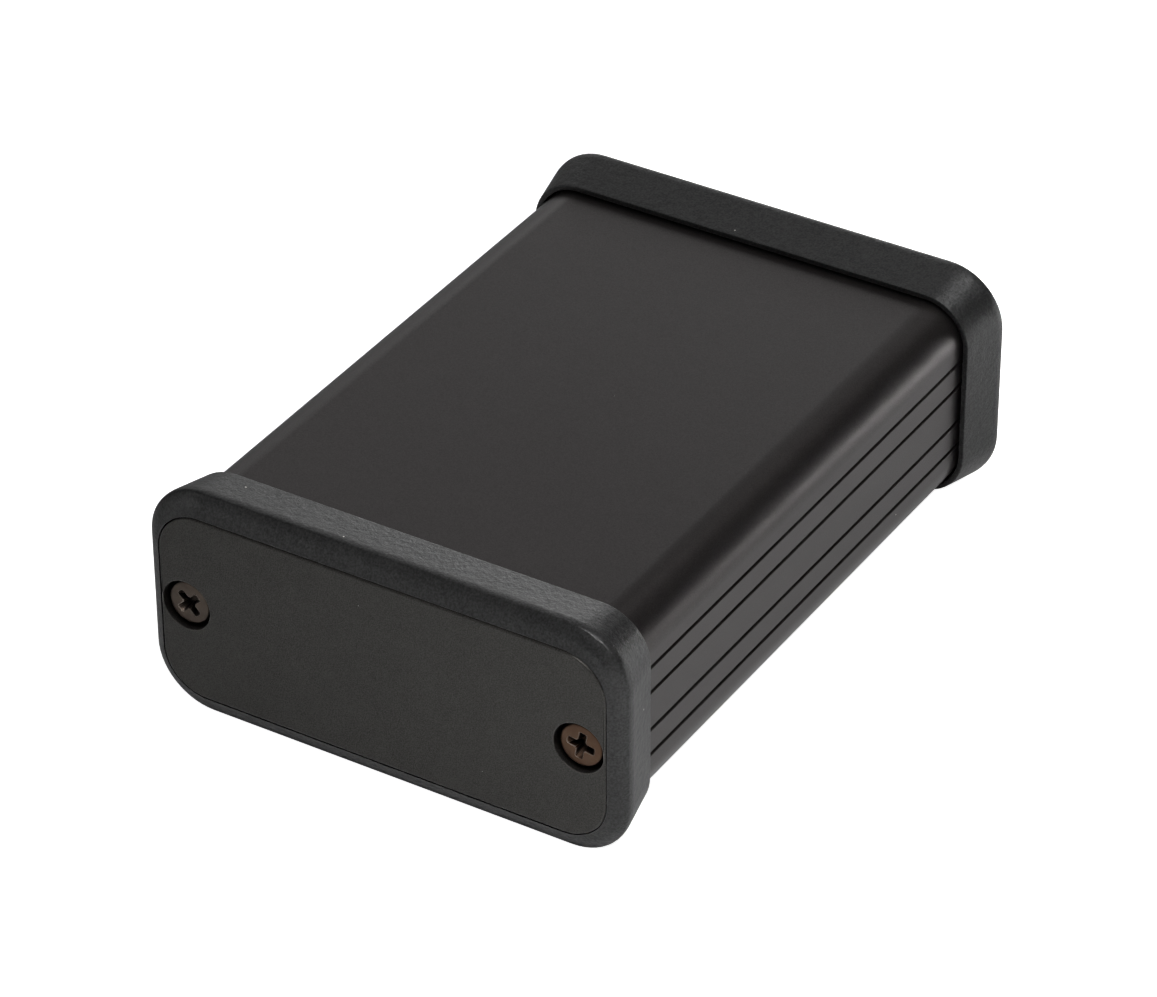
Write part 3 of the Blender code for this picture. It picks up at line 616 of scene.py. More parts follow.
def even_rectangle(width: float, height: float, radius: float, steps: int = 14) -> list[Flat]:
    """A rectangle whose round corners always have the same number of points, for lofts."""
    points: list[Flat] = []
    for quarter, (sx, sz) in enumerate(((1, -1), (1, 1), (-1, 1), (-1, -1))):
        centre = (sx * (width / 2 - radius), sz * (height / 2 - radius))
        start = (quarter - 1) * math.pi / 2
        points += arc(centre, radius, start, start + math.pi / 2, steps)
    return points


def inset(points: Sequence[Flat], by: float) -> list[Flat]:
    """Moves a counter-clockwise outline inward, or a clockwise one outward.

    Args:
        points: the outline.
        by: how far each side moves.

    Returns:
        The moved points.
    """
    moved = []
    for i, point in enumerate(points):
        here = Vector(point)
        first = (here - Vector(points[i - 1])).normalized()
        second = (Vector(points[(i + 1) % len(points)]) - here).normalized()
        normals = Vector((-first.y, first.x)) + Vector((-second.y, second.x))
        length = max(normals.length_squared, 1.0)
        moved.append(tuple(here + normals * (2 * by / length)))
    return moved


def round_profile(stations: Sequence[tuple[Sequence[float], float]], steps: int = 4) -> list[Vector]:
    """Rounds a closed profile whose stations may have any number of coordinates.

    Args:
        stations: each station's coordinates, and how far from it its rounding starts.
        steps: chords in each rounding.

    Returns:
        The profile's stations with each rounding as a parabola.
    """
    made = []
    for i, (place, cut) in enumerate(stations):
        here = Vector(place)
        before = Vector(stations[i - 1][0]) - here
        after = Vector(stations[(i + 1) % len(stations)][0]) - here
        if not cut:
            made.append(here)
            continue
        start = here + before * min(cut / before.length, 0.5)
        end = here + after * min(cut / after.length, 0.5)
        for step in range(steps + 1):
            t = step / steps
            made.append(start * (1 - t) ** 2 + here * (2 * t * (1 - t)) + end * t**2)
    return made


# ---------------------------------------------------------------- meshes


class Shape:
    """A mesh in the making, in millimetres."""

    def __init__(self, flat: bool = False) -> None:
        """Starts with no faces.

        Args:
            flat: outlines lie flat and are stacked along Z, where they otherwise stand across Y.
        """
        self.bm = bmesh.new()
        self.flat = flat

    def ring(self, points: Iterable[Flat], level: float) -> list[bmesh.types.BMVert]:
        """Adds an outline's points at one level along the shape's own axis, and returns them."""
        if self.flat:
            return [self.bm.verts.new((x, y, level)) for x, y in points]
        return [self.bm.verts.new((x, level, z)) for x, z in points]

    def skin(self, first: list, second: list) -> None:
        """Joins two rings of equal length with a band of faces."""
        count = len(first)
        for i in range(count):
            j = (i + 1) % count
            self.bm.faces.new((first[i], first[j], second[j], second[i]))

    def skins(self, rings: Sequence[list]) -> None:
        """Joins each ring to the next one."""
        for first, second in zip(rings, rings[1:]):
            self.skin(first, second)

    def cap(self, rings: Sequence[list]) -> None:
        """Closes a flat area between an outline and the holes in it.

        Args:
            rings: the outline's points, then each hole's.
        """
        points = [vert for ring in rings for vert in ring]
        loops = [[vert.co for vert in ring] for ring in rings]
        for corners in tessellate_polygon(loops):
            face = [points[i] for i in corners]
            if len(set(face)) == 3:
                self.bm.faces.new(face)

    def loft(self, rings: Sequence[list], closed: bool = False) -> None:
        """Skins rings in order; a closed loft joins the last to the first, an open one is capped."""
        self.skins(rings)
        if closed:
            self.skin(rings[-1], rings[0])
        else:
            self.bm.faces.new(rings[0])
            self.bm.faces.new(rings[-1])

    def plate(self, rims: Sequence[Sequence[tuple[Sequence[Flat], float]]]) -> None:
        """Builds a plate with openings.

        Args:
            rims: the outer edge, then each opening's, as outlines with their distance along Y,
                from the plate's one face to its other face.
        """
        walls = [[self.ring(points, y) for points, y in rim] for rim in rims]
        for wall in walls:
            self.skins(wall)
        self.cap([wall[0] for wall in walls])
        self.cap([wall[-1] for wall in walls])

    def block(
        self, low: Sequence[float], high: Sequence[float], edge: float = 0.0, segments: int = 2,
        at: Matrix = Matrix.Identity(4),
    ) -> None:
        """Adds a box between two corners.

        Args:
            low: its lowest corner.
            high: its highest corner.
            edge: how far its edges are rounded.
            segments: chords in each rounding.
            at: where the box's own directions go.
        """
        size = [b - a for a, b in zip(low, high)]
        middle = [(a + b) / 2 for a, b in zip(low, high)]
        place = at @ Matrix.Translation(middle) @ Matrix.Diagonal((*size, 1))
        made = bmesh.ops.create_cube(self.bm, size=1, matrix=place)
        if edge:
            edges = {e for vert in made["verts"] for e in vert.link_edges}
            bmesh.ops.bevel(self.bm, geom=list(edges), offset=edge, segments=segments, profile=0.5,
                            affect="EDGES")

    def slab(self, at: Matrix, along: Flat, width: float, height: float) -> None:
        """Adds a low pad with sloping sides.

        Args:
            at: where its own directions go, its underside at zero height.
            along: where it starts and ends.
            width: its width.
            height: its height.
        """
        rows = []
        for z, out in ((-0.02, 0.0), (height * 0.6, 0.02), (height, 0.07)):
            corners = ((along[0] + out, -width / 2 + out), (along[1] - out, -width / 2 + out),
                       (along[1] - out, width / 2 - out), (along[0] + out, width / 2 - out))
            rows.append([self.bm.verts.new(at @ Vector((x, y, z))) for x, y in corners])
        self.loft(rows)

    def ribbon(self, path: Sequence[Flat], thick: float, wide: float, at: Matrix, tip: float = 1.0) -> None:
        """Adds a bar of rectangular section along a bent path.

        Args:
            path: the bends of its centre line, in its own plane.
            thick: its thickness in that plane.
            wide: its width across that plane.
            at: where the plane's two directions and the one across it go.
            tip: the share of the section that is left at both ends.
        """
        rows = []
        for i, point in enumerate(path):
            here = Vector(point)
            before = (here - Vector(path[i - 1])).normalized() if i else None
            after = (Vector(path[i + 1]) - here).normalized() if i + 1 < len(path) else None
            before, after = before or after, after or before
            across = Vector((-before.y - after.y, before.x + after.x))
            across *= 2 / max(across.length_squared, 0.5)
            share = tip if i in (0, len(path) - 1) else 1.0
            row = []
            for u, w in ((-1, -1), (1, -1), (1, 1), (-1, 1)):
                flat = here + across * (u * thick / 2 * share)
                row.append(self.bm.verts.new(at @ Vector((flat.x, flat.y, w * wide / 2 * share))))
            rows.append(row)
        self.loft(rows)

    def turn(self, profile: Sequence[Flat], at: Matrix, steps: int = 48) -> None:
        """Turns a half section (radius, height) about Z.

        Args:
            profile: the section from axis to axis, or its rim points where it isn't closed.
            at: where the turned shape goes.
            steps: segments round the axis.
        """
        rows = []
        for radius, height in profile:
            if radius < 1e-6:
                rows.append([self.bm.verts.new(at @ Vector((0, 0, height)))] * steps)
                continue
            row = [(radius * math.cos(a), radius * math.sin(a), height)
                   for a in (math.tau * i / steps for i in range(steps))]
            rows.append([self.bm.verts.new(at @ Vector(point)) for point in row])
        for first, second in zip(rows, rows[1:]):
            for i in range(steps):
                j = (i + 1) % steps
                corners = list(dict.fromkeys((first[i], first[j], second[j], second[i])))
                if len(corners) > 2:
                    self.bm.faces.new(corners)

    def mesh(self, name: str, sharp: float = 32.0) -> bpy.types.Mesh:
        """Turns the shape into a mesh in metres with its faces pointing out.

        Args:
            name: the mesh's name.
            sharp: the angle in degrees from which an edge stays sharp.

        Returns:
            The mesh.
        """
        bmesh.ops.scale(self.bm, vec=(MM, MM, MM), verts=self.bm.verts)
        bmesh.ops.recalc_face_normals(self.bm, faces=self.bm.faces)
        mesh = bpy.data.meshes.new(name)
        self.bm.to_mesh(mesh)
        self.bm.free()
        mesh.shade_smooth()
        mesh.set_sharp_from_angle(angle=math.radians(sharp))
        return mesh


def show(name: str, mesh: bpy.types.Mesh, finish: Finish, body: str) -> bpy.types.Object:
    """Adds a piece to the scene in its finish, and lets it ride on its body.

    Args:
        name: the piece's name.
        mesh: its mesh, in the frame's own coordinates.
        finish: its finish.
        body: the name of the body that it moves with.

    Returns:
        The piece.
    """
    mesh.materials.clear()
    mesh.materials.append(finish.material())
    made = bpy.data.objects.new(name, mesh)
    bpy.context.scene.collection.objects.link(made)
    even = made.modifiers.new("even_normals", "WEIGHTED_NORMAL")
    even.keep_sharp = True
    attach(made, body)
    LOG.info("%s rides on %s", name, body)
    return made


def dress(node: str, finish: Finish, edge: float) -> None:
    """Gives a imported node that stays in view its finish, and eases its edges.

    Args:
        node: the node's name.
        finish: its finish.
        edge: how far its edges are rounded.
    """
    piece = frame["nodes"][node]
    piece.data.materials.clear()
    piece.data.materials.append(finish.material())
    weld = piece.modifiers.new("weld", "WELD")
    weld.merge_threshold = 0.001 * MM
    ease = piece.modifiers.new("ease", "BEVEL")
    ease.width = edge * MM
    ease.segments = 2
    ease.limit_method = "ANGLE"
    LOG.info("%s keeps its shape", node)


def cut(mesh: bpy.types.Mesh, tools: Sequence[bpy.types.Mesh], sharp: float = 32.0) -> bpy.types.Mesh:
    """Cuts closed meshes out of another.

    Args:
        mesh: the mesh that is cut.
        tools: the meshes that are taken out of it.
        sharp: the angle in degrees from which an edge stays sharp.

    Returns:
        The cut mesh.
    """
    scene = bpy.context.scene.collection.objects
    holder = bpy.data.objects.new("blank", mesh)
    scene.link(holder)
    cutters = [bpy.data.objects.new("cutter", tool) for tool in tools]
    for cutter in cutters:
        scene.link(cutter)
        change = holder.modifiers.new("cut", "BOOLEAN")
        change.solver = "EXACT"
        change.object = cutter
    graph = bpy.context.evaluated_depsgraph_get()
    made = bpy.data.meshes.new_from_object(holder.evaluated_get(graph))
    for thing in (holder, *cutters):
        bpy.data.objects.remove(thing, do_unlink=True)
    made.shade_smooth()
    made.set_sharp_from_angle(angle=math.radians(sharp))
    return made


def span(node: str) -> tuple[Vector, Vector]:
    """A node's lowest and highest corners, in millimetres."""
    low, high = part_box(node)
    return low / MM, high / MM


def facing(low: Vector, high: Vector) -> Flat:
    """The middle of a box as its outline across Y sees it."""
    return ((low.x + high.x) / 2, (low.z + high.z) / 2)


def above(low: Vector, high: Vector) -> Flat:
    """The middle of a box as seen from above."""
    return ((low.x + high.x) / 2, (low.y + high.y) / 2)


def easing(edge: float, steps: int) -> list[Flat]:
    """A rounded edge from face to side: how far out each point is still cut back, and how deep it lies."""
    angles = [math.pi / 2 * i / steps for i in range(steps + 1)]
    return [(edge * (1 - math.sin(a)), edge * (1 - math.cos(a))) for a in angles]


# ---------------------------------------------------------------- the case


@dataclass
class Case:
    """The extruded body with its grooves, guide ribs and screw channels."""

    radius: float = 4.8
    wall: float = 1.5
    inner_radius: float = 2.4
    groove_width: float = 0.45
    groove_depth: float = 0.45
    groove_heights: tuple[float, ...] = (2.35, 5.47)
    groove_edge: float = 0.08
    rib_depth: float = 1.8
    rib_thickness: float = 1.0
    channel_wall: float = 1.35
    channel_slot: float = 1.6
    channel_radius: float = 1.75
    fit: float = 0.3
    saw_edge: float = 0.15

    def __post_init__(self) -> None:
        """Reads the body's size, the screws' place and the board's height from the frame."""
        low, high = span("case_extrusion")
        self.ends = (low.y, high.y)
        self.width = high.x - low.x
        self.height = high.z - low.z
        self.middle = (high.z + low.z) / 2
        screw_low, screw_high = span("front_screw_right")
        self.screw_x = abs(screw_low.x + screw_high.x) / 2
        board_low, board_high = span("circuit_board")
        self.slot = (board_low.z - self.middle - self.fit, board_high.z - self.middle + self.fit)

    def side_grooves(self) -> list[tuple[float, float, float]]:
        """The right side's groove corners from bottom to top, with their radii."""
        half = self.width / 2
        corners = []
        for height in sorted(h * s for h in self.groove_heights for s in (-1, 1)):
            low = height - self.groove_width / 2
            high = height + self.groove_width / 2
            floor = half - self.groove_depth
            corners += [(half, low, self.groove_edge), (floor, low, self.groove_edge * 1.5)]
            corners += [(floor, high, self.groove_edge * 1.5), (half, high, self.groove_edge)]
        return corners

    def outer(self) -> list[Flat]:
        """The body's outside."""
        half, top = self.width / 2, self.height / 2
        right = self.side_grooves()
        left = [(-x, z, r) for x, z, r in reversed(right)]
        corners = [(half, -top, self.radius), *right, (half, top, self.radius)]
        corners += [(-half, top, self.radius), *left, (-half, -top, self.radius)]
        return soften(corners)

    def side_features(self) -> list[Flat]:
        """The right wall's inside from bottom to top: guide ribs, then the screw channel."""
        face = self.width / 2 - self.wall
        tip = face - self.rib_depth
        low, high = self.slot
        points = []
        for start, end in ((low - self.rib_thickness, low), (high, high + self.rib_thickness)):
            corners = [(face, start), (tip, start), (tip, end), (face, end)]
            points += corners
        centre = (self.screw_x, 0.0)
        outer = self.channel_radius + self.channel_wall
        meets = math.asin((face - self.screw_x) / outer)
        lip = math.asin(self.channel_slot / 2 / outer)
        inner_lip = math.asin(self.channel_slot / 2 / self.channel_radius)
        lower = arc(centre, outer, -math.pi / 2 + meets, -math.pi + lip, 16)
        lower += arc(centre, self.channel_radius, -math.pi + inner_lip, 0, 20)
        upper = [(x, -z) for x, z in reversed(lower[:-1])]
        return points + lower + upper

    def inner(self) -> list[Flat]:
        """The body's inside."""
        half, top = self.width / 2 - self.wall, self.height / 2 - self.wall
        right = self.side_features()
        left = [(-x, z) for x, z in reversed(right)]
        corners = rectangle(2 * half, 2 * top, self.inner_radius)
        each = len(corners) // 4
        return corners[:each] + right + corners[each:3 * each] + left + corners[3 * each:]

    def build(self) -> None:
        """Builds the body with its sawn ends eased, in place of the plain one."""
        shape = Shape()
        start, end = self.ends
        rims = []
        for outline, side in ((self.outer(), 1), (self.inner(), -1)):
            outline = [(x, z + self.middle) for x, z in outline]
            eased = inset(outline, side * self.saw_edge)
            rims.append([(eased, start), (outline, start + self.saw_edge), (outline, end - self.saw_edge),
                         (eased, end)])
        shape.plate(rims)
        made = show("case_body", shape.mesh("case_body", 40), ANODISED, Body.CASE)
        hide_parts("case_extrusion")


# ---------------------------------------------------------------- the ends


@dataclass
class End:
    """One end of the case: its moulded bezel, its panel and its two screws."""

    name: str
    cross_turns: tuple[float, float]
    case_radius: float = 4.8
    panel_radius: float = 5.0
    cover: float = 3.5
    back_proud: float = 0.9
    flare: float = 5.35
    land: float = 0.7
    fit: float = 0.3
    flange: float = 1.0
    panel_gap: float = 0.25
    lip_gap: float = 0.16
    lip_shift: float = 0.135
    panel_proud: float = 0.25
    window_end: float = 6.6
    window_side: float = 3.9
    window_radius: float = 2.0
    panel_edge: float = 0.2
    hole_edge: float = 0.09
    hole_radius: float = 2.95
    through_radius: float = 1.75
    head_seat: float = 1.9
    lip_bulge: float = 0.18

    def __post_init__(self) -> None:
        """Reads the sizes of the case, the bezel and the panel from the frame."""
        case_low, case_high = span("case_extrusion")
        bezel_low, bezel_high = span(self.name + "_bezel")
        panel_low, panel_high = span(self.name + "_panel")
        self.side = 1 if bezel_low.y > 0 else -1
        self.case_end = case_high.y
        self.case_size = (case_high.x - case_low.x, case_high.z - case_low.z)
        self.middle = (case_low.z + case_high.z) / 2
        self.proud = bezel_high.x - case_high.x
        self.panel_size = (panel_high.x - panel_low.x, panel_high.z - panel_low.z)
        reach = sorted((abs(panel_low.y), abs(panel_high.y)))
        self.panel_back, self.panel_front = (r - self.case_end for r in reach)
        screw_low, screw_high = span(self.name + "_screw_right")
        self.screw_x = abs(screw_low.x + screw_high.x) / 2

    def around_case(self, by: float, y: float) -> tuple[float, float, float, float]:
        """A station of the bezel: the case's outline moved out, at a distance from the case's end."""
        width, height = self.case_size
        return (width + 2 * by, height + 2 * by, self.case_radius + by, y)

    def stations(self) -> list[Vector]:
        """The bezel's section, round the outside and back through the inside, with its edges rounded."""
        width, height = self.panel_size
        gap = self.panel_gap
        back = -self.cover
        crest = back + self.flare
        lip_y = self.panel_front - self.panel_proud
        floor = self.fit + self.flange
        pocket = (width + 2 * gap, height + 2 * gap, self.panel_radius + gap)
        window = (self.case_size[0] - 2 * self.window_end, self.case_size[1] - 2 * self.window_side,
                  self.window_radius)
        lip = tuple(size + 2 * (self.lip_gap - gap) for size in pocket[:2])
        start = Vector(self.around_case(self.proud, crest + self.land))
        end = Vector((*lip, pocket[2], lip_y))
        bulge = Vector((2 * self.lip_bulge, 2 * self.lip_bulge, self.lip_bulge, self.lip_bulge))
        return round_profile([
            (self.around_case(self.fit, back), 0.1),
            (self.around_case(self.back_proud, back), 0.16),
            (self.around_case(self.proud, crest), 0.35),
            (start, 0.35),
            ((start + end) / 2 + bulge, 1.2),
            (end, 0.12),
            ((*lip, pocket[2], lip_y - 0.6), 0.1),
            ((*pocket, lip_y - 0.8), 0.1),
            ((*pocket, floor), 0.15),
            ((*window, floor), 0.2),
            ((*window, self.fit), 0.1),
            (self.around_case(self.fit, self.fit), 0.15),
        ])

    def at(self, y: float) -> float:
        """A distance from the case's end as a place along Y."""
        return self.side * (self.case_end + y)

    def centred(self, points: Iterable[Flat]) -> list[Flat]:
        """An outline about the case's axis as one in the frame."""
        return [(x, z + self.middle) for x, z in points]

    def build_bezel(self) -> None:
        """Builds the bezel with its two screw holes."""
        shape = Shape()
        rings = []
        lip_y = self.panel_front - self.panel_proud
        for width, height, radius, y in self.stations():
            mouth = y > lip_y - 0.7 and width < self.panel_size[0] + 0.8
            shift = self.lip_shift if mouth else 0.0
            outline = even_rectangle(width, height, radius)
            rings.append(shape.ring(self.centred((x - shift, z - shift) for x, z in outline), self.at(y)))
        shape.loft(rings, closed=True)
        tools = []
        for across in (-1, 1):
            drill = Shape()
            outline = circle((across * self.screw_x, self.middle), self.through_radius)
            drill.loft([drill.ring(outline, self.at(0)), drill.ring(outline, self.at(self.panel_back))])
            tools.append(drill.mesh("drill"))
        name = self.name + "_bezel"
        made = show(name + "_moulding", cut(shape.mesh(name), tools), MOULDED, name)
        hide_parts(name)

    def openings(self) -> list[list[tuple[list[Flat], float]]]:
        """The panel's screw holes, from its outer face to its back."""
        made = []
        for across in (-1, 1):
            centre = (across * self.screw_x, self.middle)
            rim = [(circle(centre, r), self.at(y)) for r, y in self.eased_hole(self.hole_radius)]
            seat = self.panel_front - self.head_seat
            rim.append((circle(centre, self.hole_radius), self.at(seat)))
            rim.append((circle(centre, self.through_radius), self.at(seat)))
            rim.append((circle(centre, self.through_radius), self.at(self.panel_back)))
            made.append(rim)
        return made

    def eased_hole(self, radius: float) -> list[Flat]:
        """Radii and distances down a hole's rounded rim."""
        return [(radius + out, self.panel_front - deep) for out, deep in easing(self.hole_edge, 3)]

    def build_panel(self) -> None:
        """Builds the panel with its rounded edge and its openings."""
        width, height = self.panel_size
        outer = []
        for out, deep in easing(self.panel_edge, 4):
            outline = even_rectangle(width - 2 * out, height - 2 * out, self.panel_radius - out)
            outer.append((self.centred(outline), self.at(self.panel_front - deep)))
        back = even_rectangle(width, height, self.panel_radius)
        outer.append((self.centred(back), self.at(self.panel_back)))
        shape = Shape()
        shape.plate([outer, *self.openings()])
        name = self.name + "_panel"
        made = show(name + "_moulding", shape.mesh(name), PANEL, name)
        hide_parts(name)

    def build(self) -> None:
        """Builds the whole end."""
        self.build_bezel()
        self.build_panel()
        for word, turn, finish in zip(("left", "right"), self.cross_turns, (RUBBED, BRONZED)):
            Screw(f"{self.name}_screw_{word}", self.side, turn, finish).build()


@dataclass
class Screw:
    """A thread-forming screw with a flat head and a cross recess."""

    name: str
    side: int
    cross_turn: float
    finish: Finish = BRONZED
    head_thickness: float = 1.1
    head_edge: float = 0.32
    shank_radius: float = 1.45
    root_radius: float = 1.08
    pitch: float = 0.9
    plain: float = 0.5
    point: float = 1.4
    arm_length: float = 1.66
    arm_width: float = 0.85
    recess: float = 1.35

    def __post_init__(self) -> None:
        """Reads the screw's place and size from the frame."""
        low, high = span(self.name)
        self.head_radius = (high.x - low.x) / 2
        face = high.y if self.side > 0 else low.y
        self.length = high.y - low.y
        middle = ((low.x + high.x) / 2, face, (low.z + high.z) / 2)
        turn = Matrix.Rotation(-self.side * math.pi / 2, 4, "X")
        self.at = Matrix.Translation(middle) @ turn

    def head_profile(self) -> list[Flat]:
        """The head's half section from its face to the start of the thread."""
        edge = self.head_edge
        radius = self.head_radius
        crown = [(0.0, 0.0), (radius - edge, -0.02)]
        for angle in (math.pi / 2 * i / 5 for i in range(1, 6)):
            crown.append((radius - edge + edge * math.sin(angle), -0.02 - edge * (1 - math.cos(angle))))
        under = -self.head_thickness
        crown += [(radius, under + 0.06), (radius - 0.06, under), (self.root_radius + 0.1, under)]
        crown.append((self.root_radius, under - 0.1))
        return crown

    def thread(self, shape: Shape, steps: int = 30, rows_per_turn: int = 10) -> None:
        """Adds the threaded shank as a grid that rises and falls along a helix.

        Args:
            shape: the shape that the shank is added to.
            steps: segments round the axis.
            rows_per_turn: rows along each turn of the thread.
        """
        start = -self.head_thickness - 0.1
        end = -self.length
        count = int((start - end) / self.pitch * rows_per_turn)
        rows = []
        for i in range(count + 1):
            z = start + (end - start) * i / count
            fade = min(1.0, (start - z) / self.plain)
            taper = min(1.0, 0.22 + 0.78 * (z - end) / self.point)
            row = []
            for j in range(steps):
                angle = math.tau * j / steps
                phase = (z / self.pitch + j / steps) % 1.0
                crest = max(0.0, 1 - abs(phase - 0.5) / 0.3) ** 0.8
                radius = (self.root_radius + (self.shank_radius - self.root_radius) * crest * fade) * taper
                place = Vector((radius * math.cos(angle), radius * math.sin(angle), z))
                row.append(shape.bm.verts.new(self.at @ place))
            rows.append(row)
        shape.loft(rows)

    def cross(self) -> bpy.types.Mesh:
        """The recess as a closed cutter: a cross that narrows as it goes down.

        Returns:
            The cutter.
        """
        shape = Shape()
        turn = Matrix.Rotation(self.cross_turn, 4, "Z")
        rings = []
        depths = ((0.2, 1.0, 1.25), (0.03, 1.0, 1.2), (-0.06, 0.97, 1.0), (-0.5, 0.80, 0.82),
                  (-self.recess, 0.42, 0.55))
        for z, length_share, width_share in depths:
            length = self.arm_length * length_share
            half = self.arm_width / 2 * width_share
            fillet = half * 1.45
            ring = []
            for quarter in range(4):
                arm = Matrix.Rotation(quarter * math.pi / 2, 4, "Z")
                lower = ((fillet, -half), (length - 0.12, -half), (length, -half * 0.55))
                corners = lower + tuple((x, -y) for x, y in reversed(lower))
                for x, y in corners:
                    ring.append(shape.bm.verts.new(self.at @ turn @ arm @ Vector((x, y, z))))
            rings.append(ring)
        shape.loft(rings)
        return shape.mesh("cross")

    def build(self) -> None:
        """Builds the screw in place of the plain one."""
        shape = Shape()
        shape.turn(self.head_profile() + [(0.0, -self.head_thickness - 0.1)], self.at)
        head = cut(shape.mesh(self.name, 28), [self.cross()], 28)
        shank = Shape()
        self.thread(shank)
        threaded = shank.mesh(self.name + "_thread", 50)
        made = show(self.name + "_head", head, self.finish, self.name)
        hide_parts(self.name)
        show(self.name + "_thread", threaded, self.finish, self.name)


# ---------------------------------------------------------------- the connector end


@dataclass
class ConnectorEnd(End):
    """The end whose panel has windows for the connectors and the lights."""

    window_ease: float = 0.1
    window_corner: float = 0.35

    def eased_window(self, low: Vector, high: Vector) -> list[tuple[list[Flat], float]]:
        """A rectangular window's rim from the panel's face to its back.

        Args:
            low: the lowest corner of what comes through it.
            high: the highest corner of what comes through it.

        Returns:
            Outlines with their place along Y.
        """
        rim = []
        for eased, deep in easing(self.window_ease, 3):
            out = self.fit + eased
            size = (high.x - low.x + 2 * out, high.z - low.z + 2 * out)
            outline = rectangle(*size, self.window_corner, facing(low, high))
            rim.append((outline, self.at(self.panel_front - deep)))
        rim.append((rim[-1][0], self.at(self.panel_back)))
        return rim

    def openings(self) -> list[list[tuple[list[Flat], float]]]:
        """The screw holes, the windows and the lights' holes."""
        made = super().openings()
        for node in ("usb_socket_shell", "probe_header_shroud"):
            made.append(self.eased_window(*span(node)))
        for node in ("status_light_activity", "status_light_power"):
            low, high = span(node)
            centre = facing(low, high)
            radius = (high.x - low.x) / 2 + self.fit
            rim = [(circle(centre, r), self.at(y)) for r, y in self.eased_hole(radius)]
            rim.append((circle(centre, radius), self.at(self.panel_back)))
            made.append(rim)
        return made


@dataclass
class UsbSocket:
    """The square socket: a folded sheet shell round a moulded block with four contacts."""

    sheet: float = 0.5
    mouth_width: float = 8.5
    mouth_height: float = 7.8
    mouth_chamfer: float = 1.6
    ease: float = 0.12
    bend: float = 0.7
    slot: float = 0.25
    finger: tuple[float, float] = (2.2, 5.5)
    contact: tuple[float, float, float] = (1.1, 5.2, 0.12)
    contact_place: Flat = (1.3, 1.6)
    contact_back: float = 0.9
    finger_aside: float = 2.6

    def mouth(self, centre: Flat, out: float) -> list[Flat]:
        """The plug's opening, with its upper corners cut, moved out all round."""
        half, up, cut_off = self.mouth_width / 2 + out, self.mouth_height / 2 + out, self.mouth_chamfer
        x, z = centre
        right = [(half, -up), (half, up - cut_off), (half - cut_off, up)]
        left = [(-across, height) for across, height in reversed(right)]
        return soften([(x + across, z + height, 0.3) for across, height in right + left])

    def shell(self, low: Vector, high: Vector) -> bpy.types.Mesh:
        """Builds the folded sheet with its stamped spring fingers.

        Args:
            low: the shell's lowest corner.
            high: its highest corner.

        Returns:
            The mesh.
        """
        t, bend = self.sheet, self.bend
        cover = Shape()
        outline = soften([
            (high.x, low.z, 0), (high.x, high.z, bend), (low.x, high.z, bend), (low.x, low.z, 0),
            (low.x + t, low.z, 0), (low.x + t, high.z - t, bend - t * 0.8),
            (high.x - t, high.z - t, bend - t * 0.8), (high.x - t, low.z, 0),
        ])
        cover.loft([cover.ring(outline, low.y), cover.ring(outline, high.y - t - 0.03)])
        cover.block((low.x + t + 0.02, low.y, low.z),
                    (high.x - t - 0.02, low.y + t, high.z - t - 0.02), 0.05)
        middle = facing(low, high)
        slots = []
        width, length = self.finger
        start = (low.y + high.y) / 2 - length / 2
        for x in (middle[0] - self.finger_aside, middle[0] + self.finger_aside):
            slots += self.finger_slots(x, start, width, length, (high.z - t - 0.4, high.z + 0.4))
        return cut(cover.mesh("cover"), slots)

    def finger_slots(
        self, x: float, y: float, width: float, length: float, reach: Flat
    ) -> list[bpy.types.Mesh]:
        """The three slots that free one spring finger, as cutters."""
        made = []
        for left, right, near, far in (
            (x - width / 2, x - width / 2 + self.slot, y, y + length),
            (x + width / 2 - self.slot, x + width / 2, y, y + length),
            (x - width / 2, x + width / 2, y + length - self.slot, y + length + 0.001),
        ):
            box = Shape()
            box.block((left, near, reach[0]), (right, far, reach[1]))
            made.append(box.mesh("slot"))
        return made

    def build(self) -> None:
        """Builds the shell, its mouth plate and the contacts, and dresses the moulded block."""
        low, high = span("usb_socket_shell")
        made = show("usb_socket_cover", self.shell(low, high), TINNED, Body.BOARD)
        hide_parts("usb_socket_shell")
        centre = facing(low, high)
        face = Shape()
        rim = [(self.mouth(centre, self.ease), high.y), (self.mouth(centre, 0.0), high.y - self.ease),
               (self.mouth(centre, 0.0), high.y - self.sheet)]
        size = (high.x - low.x, high.z - low.z)
        outer = [(rectangle(size[0] - 0.16, size[1] - 0.16, self.bend, centre), high.y),
                 (rectangle(*size, self.bend, centre), high.y - 0.08),
                 (rectangle(*size, self.bend, centre), high.y - self.sheet)]
        face.plate([outer, rim])
        show("usb_socket_mouth", face.mesh("mouth"), TINNED, Body.BOARD)
        dress("usb_socket_insulator", WHITE_MOULDING, 0.12)
        block_high = span("usb_socket_insulator")[1]
        contacts = Shape()
        width, length, thick = self.contact
        tip = block_high.y - self.contact_back
        aside, up = self.contact_place
        for x in (centre[0] - aside, centre[0] + aside):
            for z in (centre[1] - up - thick / 2, centre[1] + up + thick / 2):
                contacts.block((x - width / 2, tip - length, z - thick / 2),
                               (x + width / 2, tip, z + thick / 2), 0.04)
        show("usb_socket_contacts", contacts.mesh("contacts"), GOLD, Body.BOARD)


